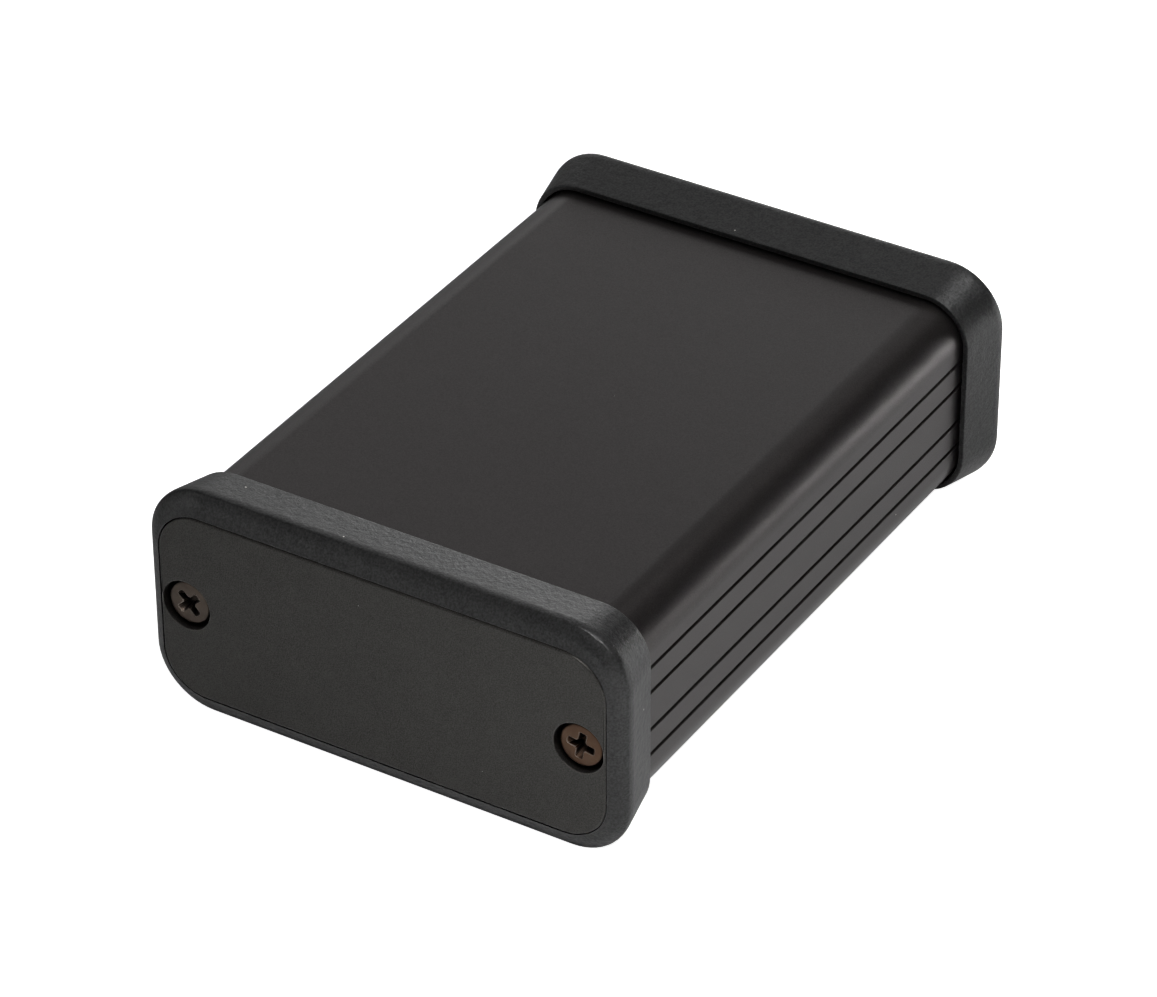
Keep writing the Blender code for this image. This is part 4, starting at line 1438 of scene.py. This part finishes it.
@dataclass
class ProbeHeader:
    """The keyed shroud and its ten square pins."""

    wall: float = 1.2
    cavity: float = 6.5
    key: float = 4.5
    ease: float = 0.25
    pin: float = 0.64
    pin_room: float = 0.34
    bend: float = 0.7

    def build(self) -> None:
        """Builds the shroud, then the pins."""
        self.build_shroud()
        for node in PINS:
            self.build_pin(node)

    def build_shroud(self) -> None:
        """Builds the shroud: a box open outward, with pin holes in its floor and a key slot."""
        low, high = span("probe_header_shroud")
        centre = facing(low, high)
        size = (high.x - low.x, high.z - low.z)
        floor = high.y - self.cavity
        shape = Shape()

        def outline(out: float) -> list[Flat]:
            """The shroud's outline, moved out."""
            return rectangle(size[0] + 2 * out, size[1] + 2 * out, 0.3 + out, centre)

        outside = [shape.ring(outline(out), y) for out, y in (
            (-0.15, low.y), (0.0, low.y + 0.15), (0.0, high.y - 0.15), (-0.15, high.y))]
        inside = [shape.ring(outline(-self.wall + out), y) for out, y in (
            (self.ease, high.y), (0.0, high.y - self.ease), (0.0, floor))]
        holes = []
        for node in PINS:
            pin_low, pin_high = span(node)
            at = ((pin_low.x + pin_high.x) / 2, pin_high.z - self.pin / 2)
            square = rectangle(2 * self.pin_room, 2 * self.pin_room, 0.05, at)
            holes.append([shape.ring(square, floor), shape.ring(square, low.y)])
        for rings in (outside, inside, *holes):
            shape.skins(rings)
        shape.cap([outside[-1], inside[0]])
        shape.cap([inside[-1], *(rings[0] for rings in holes)])
        shape.cap([outside[0], *(rings[-1] for rings in holes)])
        slot = Shape()
        slot.block((centre[0] - self.key / 2, floor + 0.2, centre[1] + 1.0),
                   (centre[0] + self.key / 2, high.y + 1, high.z + 1), 0.1)
        moulding = cut(shape.mesh("shroud"), [slot.mesh("key")])
        made = show("probe_header_moulding", moulding, SHROUD, Body.BOARD)
        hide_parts("probe_header_shroud")

    def build_pin(self, node: str) -> None:
        """Builds one pin with a rounded bend and pointed ends, in place of the plain one."""
        low, high = span(node)
        x = (low.x + high.x) / 2
        y, z = low.y + self.pin / 2, high.z - self.pin / 2
        corner = arc((y + self.bend, z - self.bend), self.bend, math.pi / 2, math.pi, 6)
        path = [(high.y, z), (high.y - 0.5, z), *corner, (y, low.z + 0.5), (y, low.z)]
        shape = Shape()
        upright = Matrix(((0, 0, 1, x), (1, 0, 0, 0), (0, 1, 0, 0), (0, 0, 0, 1)))
        shape.ribbon(path, self.pin, self.pin, upright, tip=0.5)
        made = show(node + "_square", shape.mesh(node, 40), GOLD, Body.BOARD)
        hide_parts(node)


@dataclass
class StatusLights:
    """Two lights in a stacked holder."""

    collar: float = 0.12

    def build(self) -> None:
        """Dresses the holder and builds a lens for each light."""
        dress("status_light_holder", SHROUD, 0.2)
        for node, finish in (("status_light_activity", LENS_AMBER), ("status_light_power", LENS_GREEN)):
            low, high = span(node)
            radius = (high.x - low.x) / 2
            length = high.y - low.y
            centre = ((low.x + high.x) / 2, low.y, (low.z + high.z) / 2)
            at = Matrix.Translation(centre) @ Matrix.Rotation(-math.pi / 2, 4, "X")
            barrel = radius - self.collar
            dome = [(barrel * math.cos(a), length - barrel + barrel * math.sin(a))
                    for a in (math.pi / 2 * i / 12 for i in range(13))]
            profile = [(0, 0), (radius - 0.05, 0), (radius, 0.05), (radius, 0.9), (radius - 0.05, 0.95),
                       (barrel, 1.0), *dome]
            shape = Shape()
            shape.turn(profile, at)
            made = show(node + "_lens", shape.mesh(node), finish, Body.BOARD)
            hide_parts(node)


# ---------------------------------------------------------------- what is soldered on the board


@dataclass
class LeadedChip:
    """A moulded package with bent leads on some of its sides."""

    node: str
    leads: int
    pitch: float
    reach: float
    lead_width: float
    sides: tuple[str, ...] = ("front", "back")
    tab: float = 0.0
    thickness: float = 0.15
    draft: float = 0.09
    dimple: float = 0.5

    def __post_init__(self) -> None:
        """Reads the package's place from the frame."""
        self.low, self.high = span(self.node)
        self.deck = span("circuit_board")[1].z
        self.centre = (self.low + self.high) / 2

    def body(self) -> bpy.types.Mesh:
        """The moulded body: two drafted halves and a shallow dimple by the first lead."""
        shape = Shape(flat=True)
        width, depth = self.high.x - self.low.x, self.high.y - self.low.y
        at = (self.centre.x, self.centre.y)
        rise = self.high.z - self.low.z
        levels = ((0.0, 1.0), (0.48, 0.0), (0.54, 0.0), (0.95, 0.95), (1.0, 1.5))
        rings = []
        for share, out in levels:
            cut_back = 2 * self.draft * out
            outline = rectangle(width - cut_back, depth - cut_back, 0.12, at)
            rings.append(shape.ring(outline, self.low.z + rise * share))
        shape.skins(rings)
        shape.cap([rings[0]])
        corner = (at[0] - width / 2 + 2.2 * self.dimple, at[1] - depth / 2 + 2.2 * self.dimple)
        edge = shape.ring(circle(corner, self.dimple, 24), self.high.z)
        sunk = shape.ring(circle(corner, self.dimple * 0.8, 24), self.high.z - 0.06)
        shape.cap([rings[-1], edge])
        shape.skin(edge, sunk)
        shape.cap([sunk])
        return shape.mesh(self.node, 25)

    def lead(self, shape: Shape, at: Matrix, width: float) -> None:
        """Adds one bent lead with its foot on the board.

        Args:
            shape: the shape that it is added to.
            at: a matrix from outward, upward and sideways to the frame.
            width: the lead's width.
        """
        mid = (self.low.z + self.high.z) / 2 - self.deck
        foot = self.thickness / 2 + 0.04
        reach = self.reach
        path = [(-0.12, mid), (reach * 0.22, mid), (reach * 0.34, mid - 0.06), (reach * 0.5, foot + 0.08),
                (reach * 0.62, foot), (reach, foot)]
        shape.ribbon(path, self.thickness, width, at)

    def build(self) -> None:
        """Builds the body, its leads and their pads."""
        made = show(self.node + "_body", self.body(), CHIP, Body.BOARD)
        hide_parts(self.node)
        leads, pads = Shape(), Shape()
        turns = {"front": 90, "back": -90, "left": 180, "right": 0}
        for side in self.sides:
            turn = Matrix.Rotation(math.radians(turns[side]), 4, "Z")
            across = side in ("left", "right")
            half = (self.high.x - self.low.x if across else self.high.y - self.low.y) / 2
            wide = [self.lead_width] * self.leads
            if self.tab and side == "back":
                wide = [self.tab]
            for i, width in enumerate(wide):
                place = (i - (len(wide) - 1) / 2) * self.pitch
                base = Vector((self.centre.x, self.centre.y, self.deck))
                at = Matrix.Translation(base) @ turn @ Matrix.Translation((half, place, 0))
                to_lead = at @ Matrix(((1, 0, 0, 0), (0, 0, 1, 0), (0, 1, 0, 0), (0, 0, 0, 1)))
                self.lead(leads, to_lead, width)
                pads.slab(at, (self.reach * 0.42, self.reach + 0.3), width + 0.1, 0.05)
        show(self.node + "_leads", leads.mesh("leads", 40), TINNED, Body.BOARD)
        show(self.node + "_pads", pads.mesh("pads"), SOLDER, Body.BOARD)


@dataclass
class EndCapped:
    """A block with metal ends, such as a tantalum capacitor, a fuse or a resistor array."""

    node: str
    finish: Finish
    cap: float
    along: int
    stripe: Finish | None = None
    terminals: int = 1
    edge: float = 0.12

    def build(self) -> None:
        """Builds the body, its metal ends, and its polarity stripe where it has one."""
        low, high = span(self.node)
        inner_low, inner_high = low.copy(), high.copy()
        inner_low[self.along] += self.cap * 0.25
        inner_high[self.along] -= self.cap * 0.25
        inner_low.z += 0.05
        body = Shape()
        body.block(inner_low, inner_high, self.edge)
        made = show(self.node + "_body", body.mesh(self.node), self.finish, Body.BOARD)
        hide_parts(self.node)
        ends = Shape()
        other = 1 - self.along
        step = (high[other] - low[other]) / self.terminals
        for start in (low[self.along], high[self.along] - self.cap):
            for i in range(self.terminals):
                one, two = low.copy(), high.copy()
                one[self.along], two[self.along] = start, start + self.cap
                one[other] = low[other] + step * (i + 0.12)
                two[other] = low[other] + step * (i + 0.88)
                one.z, two.z = low.z - 0.06, low.z + (high.z - low.z) * 0.55
                ends.block(one, two, 0.06)
        show(self.node + "_ends", ends.mesh("ends"), TINNED, Body.BOARD)
        if self.stripe:
            band = Shape()
            one, two = inner_low.copy(), inner_high.copy()
            one[self.along] = inner_high[self.along] - 1.3
            two[self.along] = inner_high[self.along] - 0.4
            one.z = two.z - 0.1
            two.z += 0.012
            one[other] += 0.15
            two[other] -= 0.15
            band.block(one, two)
            show(self.node + "_stripe", band.mesh("stripe"), self.stripe, Body.BOARD)


@dataclass
class Cans:
    """The metal-cased parts: crystal, oscillator, bulk capacitors and inductor."""

    flange: float = 0.4
    lid_inset: float = 0.35
    base_height: float = 1.0
    mark: float = 0.012
    wire: float = 0.28

    def build(self) -> None:
        """Builds them all."""
        self.build_crystal()
        self.build_oscillator()
        for word in ("left", "right"):
            self.build_capacitor("bulk_capacitor_" + word)
        self.build_inductor()

    def build_crystal(self) -> None:
        """Builds the drawn can over its flange."""
        low, high = span("crystal_can")
        size = (high.x - low.x, high.y - low.y)
        at = above(low, high)
        shape = Shape(flat=True)
        levels = [(0.0, low.z), (0.0, low.z + 0.45), (self.flange, low.z + 0.6)]
        levels += [(self.flange + 0.5 * (1 - math.cos(a)), high.z - 0.5 + 0.5 * math.sin(a))
                   for a in (math.pi / 2 * i / 5 for i in range(6))]
        rings = []
        for out, z in levels:
            width, depth = size[0] - 2 * out, size[1] - 2 * out
            points = even_rectangle(width, depth, depth / 2 * 0.98)
            rings.append(shape.ring([(x + at[0], y + at[1]) for x, y in points], z))
        shape.loft(rings)
        made = show("crystal_drawn_can", shape.mesh("crystal"), CAN, Body.BOARD)
        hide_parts("crystal_can")

    def build_oscillator(self) -> None:
        """Builds the oscillator's ceramic base and its metal lid."""
        low, high = span("clock_oscillator")
        seam = low.z + (high.z - low.z) * 0.6
        base, lid = Shape(), Shape()
        base.block(low, (high.x, high.y, seam), 0.1)
        inset_by = self.lid_inset
        lid.block((low.x + inset_by, low.y + inset_by, seam - 0.1),
                  (high.x - inset_by, high.y - inset_by, high.z), 0.2, 3)
        made = show("clock_oscillator_base", base.mesh("base"), CHIP, Body.BOARD)
        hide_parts("clock_oscillator")
        show("clock_oscillator_lid", lid.mesh("lid"), CAN, Body.BOARD)

    def build_capacitor(self, node: str) -> None:
        """Builds one upright capacitor: its base, its can with a rolled groove, and the mark on its top."""
        low, high = span(node)
        radius = (high.x - low.x) / 2
        centre = above(low, high)
        base = Shape(flat=True)
        corners = [(centre[0] + sx * radius, centre[1] + sy * radius, 0.15 if sy > 0 else 0.9)
                   for sx, sy in ((1, -1), (1, 1), (-1, 1), (-1, -1))]
        outline = soften(corners)
        base.loft([base.ring(outline, low.z), base.ring(outline, low.z + self.base_height)])
        show(node + "_base", base.mesh("base"), SHROUD, Body.BOARD)
        can = radius - 0.12
        top = high.z - low.z - self.mark
        foot = self.base_height + 0.02
        profile = [(0, foot), (can - 0.1, foot), (can, foot + 0.1), (can, foot + 0.5),
                   (can - 0.28, foot + 0.75), (can, foot + 1.0), (can, top - 0.35)]
        profile += [(can - 0.35 * (1 - math.cos(a)), top - 0.35 + 0.35 * math.sin(a))
                    for a in (math.pi / 2 * i / 5 for i in range(1, 6))]
        profile.append((0, top))
        shape = Shape()
        shape.turn(profile, Matrix.Translation((*centre, low.z)))
        made = show(node + "_can", shape.mesh(node), CAN, Body.BOARD)
        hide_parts(node)
        mark = Shape(flat=True)
        chord = arc(centre, can - 0.4, math.radians(205), math.radians(335), 16)
        mark.loft([mark.ring(chord, high.z - 2 * self.mark), mark.ring(chord, high.z)])
        show(node + "_mark", mark.mesh("mark"), CHIP, Body.BOARD)

    def build_inductor(self) -> None:
        """Builds the ferrite drum and the copper wound on it."""
        low, high = span("power_inductor")
        radius, height = (high.x - low.x) / 2, high.z - low.z
        centre = (*above(low, high), low.z)
        rim, waist = height / 5, radius * 0.6
        drum = [(0, 0), (radius - 0.1, 0), (radius, 0.1), (radius, rim), (waist, rim + 0.1),
                (waist, height - rim - 0.1), (radius, height - rim), (radius, height - 0.1),
                (radius - 0.1, height), (waist, height), (waist - 0.2, height - 0.08), (0, height - 0.08)]
        core = Shape()
        core.turn(drum, Matrix.Translation(centre))
        made = show("power_inductor_core", core.mesh("core"), FERRITE, Body.BOARD)
        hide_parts("power_inductor")
        turns = int((height - 2 * rim - 0.2) / self.wire)
        winding = Shape()
        out = radius * 0.9
        profile = []
        for i in range(turns):
            z = rim + 0.12 + self.wire * (i + 0.5)
            profile += arc((out - self.wire / 2, z), self.wire / 2, -math.pi / 2, math.pi / 2, 6)
        profile = [(waist, profile[0][1]), *profile, (waist, profile[-1][1])]
        winding.turn(profile, Matrix.Translation(centre))
        show("power_inductor_winding", winding.mesh("winding"), COPPER, Body.BOARD)


class Passive(Enum):
    """The small parts: the finish of their middle, and their height."""

    CAPACITOR = (CERAMIC, 0.8)
    RESISTOR = (FILM, 0.45)


@dataclass(frozen=True)
class Row:
    """A row of small parts: the first one's place, the step to the next, and how they lie.

    Places are across the board, and back from its connector edge.
    """

    kind: Passive
    first: Flat
    step: Flat
    count: int
    lengthwise: bool = True


@dataclass
class SmallParts:
    """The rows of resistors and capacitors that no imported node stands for."""

    length: float = 1.6
    width: float = 0.8
    cap: float = 0.35
    rows: tuple[Row, ...] = (
        Row(Passive.RESISTOR, (0.4, 12.8), (2.0, 0.0), 9),
        Row(Passive.CAPACITOR, (-1.6, 24.3), (2.1, 0.0), 7),
        Row(Passive.CAPACITOR, (-5.4, 28.6), (0.0, 2.1), 6, False),
        Row(Passive.CAPACITOR, (14.9, 39.2), (2.0, 0.0), 4),
        Row(Passive.CAPACITOR, (-6.4, 45.1), (2.2, 0.0), 9),
        Row(Passive.RESISTOR, (-20.8, 25.0), (0.0, 1.9), 4, False),
        Row(Passive.CAPACITOR, (-17.2, 29.4), (2.1, 0.0), 4),
        Row(Passive.CAPACITOR, (-11.2, 42.2), (0.0, 2.3), 6, False),
        Row(Passive.RESISTOR, (18.4, 52.0), (0.0, 2.0), 4, False),
        Row(Passive.RESISTOR, (-7.6, 22.4), (0.0, 1.9), 3, False),
    )

    def build(self) -> None:
        """Builds the bodies of each kind, and all the metal ends."""
        board_high = span("circuit_board")[1]
        bodies = {kind: Shape() for kind in Passive}
        ends, fillets = Shape(), Shape()
        for row in self.rows:
            for i in range(row.count):
                x = row.first[0] + row.step[0] * i
                y = board_high.y - row.first[1] - row.step[1] * i
                turn = Matrix.Rotation(math.pi / 2 if row.lengthwise else 0.0, 4, "Z")
                at = Matrix.Translation((x, y, board_high.z)) @ turn
                half, high = self.length / 2, row.kind.value[1]
                along = (-half + 0.1, half - 0.1)
                self.part(bodies[row.kind], at, along, self.width - 0.04, (0.06, high - 0.02))
                for start in (-half, half - self.cap):
                    self.part(ends, at, (start, start + self.cap), self.width, (0.04, high))
                for start in (-half - 0.35, half - 0.2):
                    fillets.slab(at, (start, start + 0.55), self.width + 0.1, 0.07)
        for kind, shape in bodies.items():
            show(kind.name.lower() + "_bodies", shape.mesh("bodies"), kind.value[0], Body.BOARD)
        show("small_part_ends", ends.mesh("ends"), TINNED, Body.BOARD)
        show("small_part_pads", fillets.mesh("pads"), SOLDER, Body.BOARD)

    @staticmethod
    def part(shape: Shape, at: Matrix, along: Flat, width: float, levels: Flat) -> None:
        """Adds one block of a small part, in the part's own directions."""
        shape.block((along[0], -width / 2, levels[0]), (along[1], width / 2, levels[1]), 0.06, 1, at)


@dataclass
class CircuitBoard:
    """The laminate with its copper under the green mask, its vias and its printed outlines."""

    corner: float = 1.0
    edge: float = 0.08
    copper: float = 0.03
    trace: float = 0.22
    pin_hole: float = 0.5
    ring: float = 0.85
    via: Flat = (0.17, 0.36)
    print_line: float = 0.14
    seed: int = 7

    def __post_init__(self) -> None:
        """Reads the board's place and the pins' feet from the frame."""
        self.low, self.high = span("circuit_board")
        pins = [span(node) for node in PINS]
        self.feet = [((low.x + high.x) / 2, low.y + 0.32) for low, high in pins]

    def place(self, x: float, back: float) -> Flat:
        """A place across the board and back from its connector edge, as one in the frame."""
        return (x, self.high.y - back)

    def laminate(self) -> None:
        """Builds the board with its drilled holes."""
        centre = (0.0, (self.low.y + self.high.y) / 2)
        size = (self.high.x - self.low.x, self.high.y - self.low.y)
        e = self.edge
        shape = Shape(flat=True)
        rims = [[(rectangle(size[0] - 2 * e, size[1] - 2 * e, self.corner, centre), self.high.z),
                 (rectangle(*size, self.corner, centre), self.high.z - e),
                 (rectangle(*size, self.corner, centre), self.low.z + e),
                 (rectangle(size[0] - 2 * e, size[1] - 2 * e, self.corner, centre), self.low.z)]]
        for foot in self.feet:
            hole = circle(foot, self.pin_hole, 20)
            rims.append([(hole, self.high.z), (hole, self.low.z)])
        shape.plate(rims)
        made = show("circuit_board_laminate", shape.mesh("laminate"), MASK, Body.BOARD)
        made.data.materials.append(LAMINATE.material())
        for face in made.data.polygons:
            face.material_index = int(abs(face.normal.z) < 0.5)
        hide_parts("circuit_board")

    def bus(self, starts: Sequence[Flat], ends: Sequence[Flat], turn: float) -> list[list[Flat]]:
        """Side by side routes that run back, cross at 45 degrees and run back again.

        Args:
            starts: places nearer the connector edge, from left to right.
            ends: places further back, in the same order.
            turn: how far back of the start each crossing begins.

        Returns:
            Each route's points.
        """
        routes = []
        for (x0, y0), (x1, y1) in zip(starts, ends):
            bend = y0 + turn
            crossed = bend + abs(x1 - x0)
            stops = ((x0, y0), (x0, bend), (x1, crossed), (x1, y1))
            routes.append([self.place(x, back) for x, back in stops])
        return routes

    def routes(self) -> list[list[Flat]]:
        """Every trace on the top of the board."""
        def line(first: float, step: float, count: int, back: float) -> list[Flat]:
            """Evenly spaced places across the board."""
            return [(first + step * i, back) for i in range(count)]

        made = self.bus(line(3.47, 2.54, 5, 9.9), line(0.4, 4.0, 5, 16.2), 0.6)
        made += self.bus(line(-0.6, 0.65, 10, 22.3), line(-0.8, 0.5, 10, 26.4), 1.2)
        made += self.bus(line(11.0, 0.65, 10, 22.3), line(7.0, 0.5, 10, 30.0), 0.6)
        made += self.bus(line(-1.0, 0.5, 24, 42.8), line(-6.0, 0.8, 24, 52.0), 0.4)
        made += self.bus(line(-6.0, 0.8, 24, 59.4), line(-5.0, 0.8, 24, 62.0), 0.5)
        made += self.bus(line(-15.5, 0.5, 8, 27.4), line(-16.5, 0.5, 8, 31.0), 0.8)
        made += self.bus(line(-14.8, 0.9, 2, 11.9), line(-14.0, 0.6, 2, 18.2), 2.0)
        made += self.bus(line(15.6, 1.2, 4, 36.4), line(16.3, 1.27, 4, 43.0), 1.2)
        made += self.bus(line(-8.8, 0.5, 7, 22.0), line(-4.0, 0.5, 7, 30.5), 0.4)
        made += self.bus(line(-20.0, 1.5, 4, 56.2), line(-19.2, 1.5, 4, 59.0), 0.6)
        return made

    def vias(self) -> list[Flat]:
        """Places of the plated holes: a row along each edge, and some scattered between the parts."""
        made = []
        for i in range(13):
            back = 5.5 + 5.2 * i
            made += [self.place(side * 24.2, back) for side in (-1, 1)]
        chance = random.Random(self.seed)
        for _ in range(46):
            made.append(self.place(chance.uniform(-22.5, 22.5), chance.uniform(12.0, 70.0)))
        return made

    def printed(self, name: str, node: str, out: float) -> None:
        """Adds the printed outline round one part."""
        low, high = span(node)
        centre = above(low, high)
        size = (high.x - low.x + 2 * out, high.y - low.y + 2 * out)
        shape = Shape(flat=True)
        rims = []
        for grown in (0.0, -2 * self.print_line):
            outline = rectangle(size[0] + grown, size[1] + grown, 0.2, centre)
            rims.append([(outline, self.high.z + 0.015), (outline, self.high.z - 0.02)])
        shape.plate(rims)
        show(name, shape.mesh(name), PRINT, Body.BOARD)

    def build(self) -> None:
        """Builds the laminate, copper, vias, rings and printed outlines."""
        self.laminate()
        traces = Shape()
        level = Matrix.Translation((0, 0, self.high.z))
        for route in self.routes():
            traces.ribbon(route, self.trace, 2 * self.copper, level)
        show("board_traces", traces.mesh("traces"), MASKED_COPPER, Body.BOARD)
        vias = Shape(flat=True)
        for at in self.vias():
            self.tube(vias, at, *self.via)
        show("board_vias", vias.mesh("vias"), MASKED_COPPER, Body.BOARD)
        rings = Shape(flat=True)
        for at in self.feet:
            self.tube(rings, at, self.pin_hole - 0.02, self.ring)
        show("header_solder_rings", rings.mesh("rings"), SOLDER, Body.BOARD)
        outlines = {
            "logic_array_chip": 1.6, "memory_chip": 1.3, "usb_controller_chip": 1.3,
            "clock_oscillator": 0.6, "power_inductor": 0.5, "crystal_can": 0.5,
            "bulk_capacitor_left": 0.4, "bulk_capacitor_right": 0.4,
            "tantalum_capacitor_left": 0.5, "tantalum_capacitor_right": 0.5,
        }
        for node, out in outlines.items():
            self.printed(node + "_outline", node, out)

    def tube(self, shape: Shape, at: Flat, inner: float, outer: float) -> None:
        """Adds a plated ring on both faces of the board, with its barrel between them."""
        rings = []
        for radius, z in ((inner, self.high.z + 0.04), (outer, self.high.z + 0.03),
                          (outer, self.low.z - 0.03), (inner, self.low.z - 0.04)):
            rings.append(shape.ring(circle(at, radius, 16), z))
        shape.loft(rings, closed=True)


CHIPS = (
    LeadedChip("logic_array_chip", 25, 0.5, 1.0, 0.22, ("front", "back", "left", "right"), dimple=0.7),
    LeadedChip("memory_chip", 27, 0.8, 0.8, 0.32, dimple=0.6),
    LeadedChip("usb_controller_chip", 14, 0.5, 0.9, 0.2, ("front", "back", "left", "right")),
    LeadedChip("input_buffer_left", 11, 0.65, 1.0, 0.24, dimple=0.4),
    LeadedChip("input_buffer_right", 11, 0.65, 1.0, 0.24, dimple=0.4),
    LeadedChip("settings_memory_chip", 4, 1.27, 1.05, 0.42, dimple=0.4),
    LeadedChip("voltage_regulator_io", 3, 2.3, 1.6, 0.72, tab=3.0, thickness=0.25, dimple=0.3),
    LeadedChip("voltage_regulator_core", 3, 2.3, 1.6, 0.72, tab=3.0, thickness=0.25, dimple=0.3),
)
BLOCKS = (
    EndCapped("tantalum_capacitor_left", YELLOW, 0.8, 1, BROWN),
    EndCapped("tantalum_capacitor_right", YELLOW, 0.8, 1, BROWN),
    EndCapped("resettable_fuse", FUSE_GREEN, 0.6, 1),
    EndCapped("resistor_array_1", FILM, 0.3, 0, terminals=4, edge=0.06),
    EndCapped("resistor_array_2", FILM, 0.3, 0, terminals=4, edge=0.06),
    EndCapped("resistor_array_3", FILM, 0.3, 0, terminals=4, edge=0.06),
)


# ---------------------------------------------------------------- the studio


@dataclass(frozen=True)
class Softbox:
    """A large soft light that faces the object, or that shines straight down where it has a spread."""

    name: str
    azimuth: float
    elevation: float
    size: float
    power: float
    distance: float = 0.9
    spread: float = 0.0

    def build(self, centre: Vector) -> None:
        """Adds the light, in metres and watts.

        Args:
            centre: the point that it stands about.
        """
        azimuth, elevation = math.radians(self.azimuth), math.radians(self.elevation)
        flat = math.cos(elevation)
        back = Vector((math.sin(azimuth) * flat, -math.cos(azimuth) * flat, math.sin(elevation)))
        data = bpy.data.lights.new(self.name, "AREA")
        data.shape = "DISK"
        data.size = self.size
        data.energy = self.power
        made = bpy.data.objects.new(self.name, data)
        made.location = centre + back * self.distance
        if self.spread:
            data.spread = math.radians(self.spread)
        else:
            made.rotation_mode = "QUATERNION"
            made.rotation_quaternion = back.to_track_quat("Z", "Y")
        bpy.context.scene.collection.objects.link(made)


@dataclass(frozen=True)
class Studio:
    """The pale floor, the soft light and the camera."""

    azimuth: float = 31.5091
    elevation: float = 34.1778
    roll: float = -0.2331
    distance: float = 0.5544486
    pan: Flat = (-0.0011852, -0.0018913)
    lens: float = 159.668
    floor_reach: float = 6.0
    floor_glow: float = 0.0
    floor_seen: float = 1.0
    world: float = 0.03
    world_seen: float = 0.95
    lights: tuple[Softbox, ...] = (
        Softbox("over_front_right", 45, 57.8, 0.3, 2.55, 0.7514, 70.0),
        Softbox("over_right", 90, 57.8, 0.3, 0.42, 0.7514, 70.0),
        Softbox("over_back_right", 135, 57.8, 0.3, 1.0, 0.7514, 70.0),
        Softbox("over_back", 158.2, 67.1, 0.1, 1.1, 0.6906, 30.0),
        Softbox("front_left_low", 315, 12, 0.45, 0.85),
        Softbox("back_left_low", 225, 12, 0.45, 0.2),
        Softbox("back_left_mid", 225, 32, 0.45, 0.21),
        Softbox("back_left_high", 225, 58, 0.45, 0.34),
        Softbox("behind_mid", 180, 32, 0.45, 0.2),
        Softbox("behind_small", 200, 25, 0.3, 0.17),
        Softbox("behind_low", 210, 14, 0.3, 0.175),
        Softbox("behind_lowest", 200, 5, 0.25, 0.75),
        Softbox("back_right_mid", 135, 32, 0.45, 0.04),
    )

    def build_camera(self, centre: Vector) -> None:
        """Adds the camera.

        Args:
            centre: the middle of the case.
        """
        azimuth, elevation, roll = (math.radians(a) for a in (self.azimuth, self.elevation, self.roll))
        level = Vector((math.cos(azimuth), math.sin(azimuth), 0))
        flat = math.cos(elevation)
        back = Vector((math.sin(azimuth) * flat, -math.cos(azimuth) * flat, math.sin(elevation)))
        upright = back.cross(level)
        right = level * math.cos(roll) + upright * math.sin(roll)
        up = upright * math.cos(roll) - level * math.sin(roll)
        data = bpy.data.cameras.new("camera")
        data.lens = self.lens
        data.sensor_width = 36.0
        data.clip_start = 0.01
        made = bpy.data.objects.new("camera", data)
        place = centre + back * self.distance + right * self.pan[0] + up * self.pan[1]
        made.matrix_world = Matrix.Translation(place) @ Matrix((right, up, back)).transposed().to_4x4()
        bpy.context.scene.collection.objects.link(made)
        bpy.context.scene.camera = made

    @staticmethod
    def seen_or_lit(graph: Graph, seen: float, lit: float) -> bpy.types.NodeSocket:
        """A strength that is one value where it is looked at and another where it lights the object."""
        looked_at = graph.add("LightPath").outputs["Is Camera Ray"]
        return graph.between(looked_at, 0.0, 1.0, lit, seen)

    def build_floor(self) -> None:
        """Adds the pale floor under the object."""
        shape = bmesh.new()
        bmesh.ops.create_grid(shape, x_segments=1, y_segments=1, size=self.floor_reach)
        bmesh.ops.translate(shape, vec=(0, 0, CAD_BOX[0].z), verts=shape.verts)
        mesh = bpy.data.meshes.new("floor")
        shape.to_mesh(mesh)
        shape.free()
        material = bpy.data.materials.new("pale_floor")
        material.use_nodes = True
        shader = material.node_tree.nodes["Principled BSDF"]
        shader.inputs["Base Color"].default_value = FLOOR_COLOUR
        shader.inputs["Roughness"].default_value = 0.9
        shader.inputs["Specular IOR Level"].default_value = 0.0
        shader.inputs["Emission Color"].default_value = WHITE
        glow = self.seen_or_lit(Graph(material.node_tree), self.floor_seen, self.floor_glow)
        material.node_tree.links.new(glow, shader.inputs["Emission Strength"])
        mesh.materials.append(material)
        floor = bpy.data.objects.new("floor", mesh)
        bpy.context.scene.collection.objects.link(floor)

    def build(self) -> None:
        """Builds the studio about the object."""
        case_low, case_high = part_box("case_extrusion")
        centre = (case_low + case_high) / 2
        world = bpy.data.worlds.new("studio")
        world.use_nodes = True
        world.node_tree.nodes["Background"].inputs["Color"].default_value = WHITE
        strength = self.seen_or_lit(Graph(world.node_tree), self.world_seen, self.world)
        world.node_tree.links.new(strength, world.node_tree.nodes["Background"].inputs["Strength"])
        bpy.context.scene.world = world
        bpy.context.scene.view_settings.view_transform = "Standard"
        self.build_floor()
        for light in self.lights:
            light.build(centre)
        self.build_camera(centre)


def main() -> None:
    """Builds the analyzer from its case outward, then the studio."""
    logging.basicConfig(level=logging.INFO, format="%(name)s: %(message)s")
    Case().build()
    End("front", (math.radians(43), math.radians(-10))).build()
    ConnectorEnd("rear", (math.radians(18), math.radians(62))).build()
    CircuitBoard().build()
    UsbSocket().build()
    ProbeHeader().build()
    StatusLights().build()
    for part in (*CHIPS, *BLOCKS):
        part.build()
    Cans().build()
    SmallParts().build()
    Studio().build()


if __name__ == "__main__":
    main()
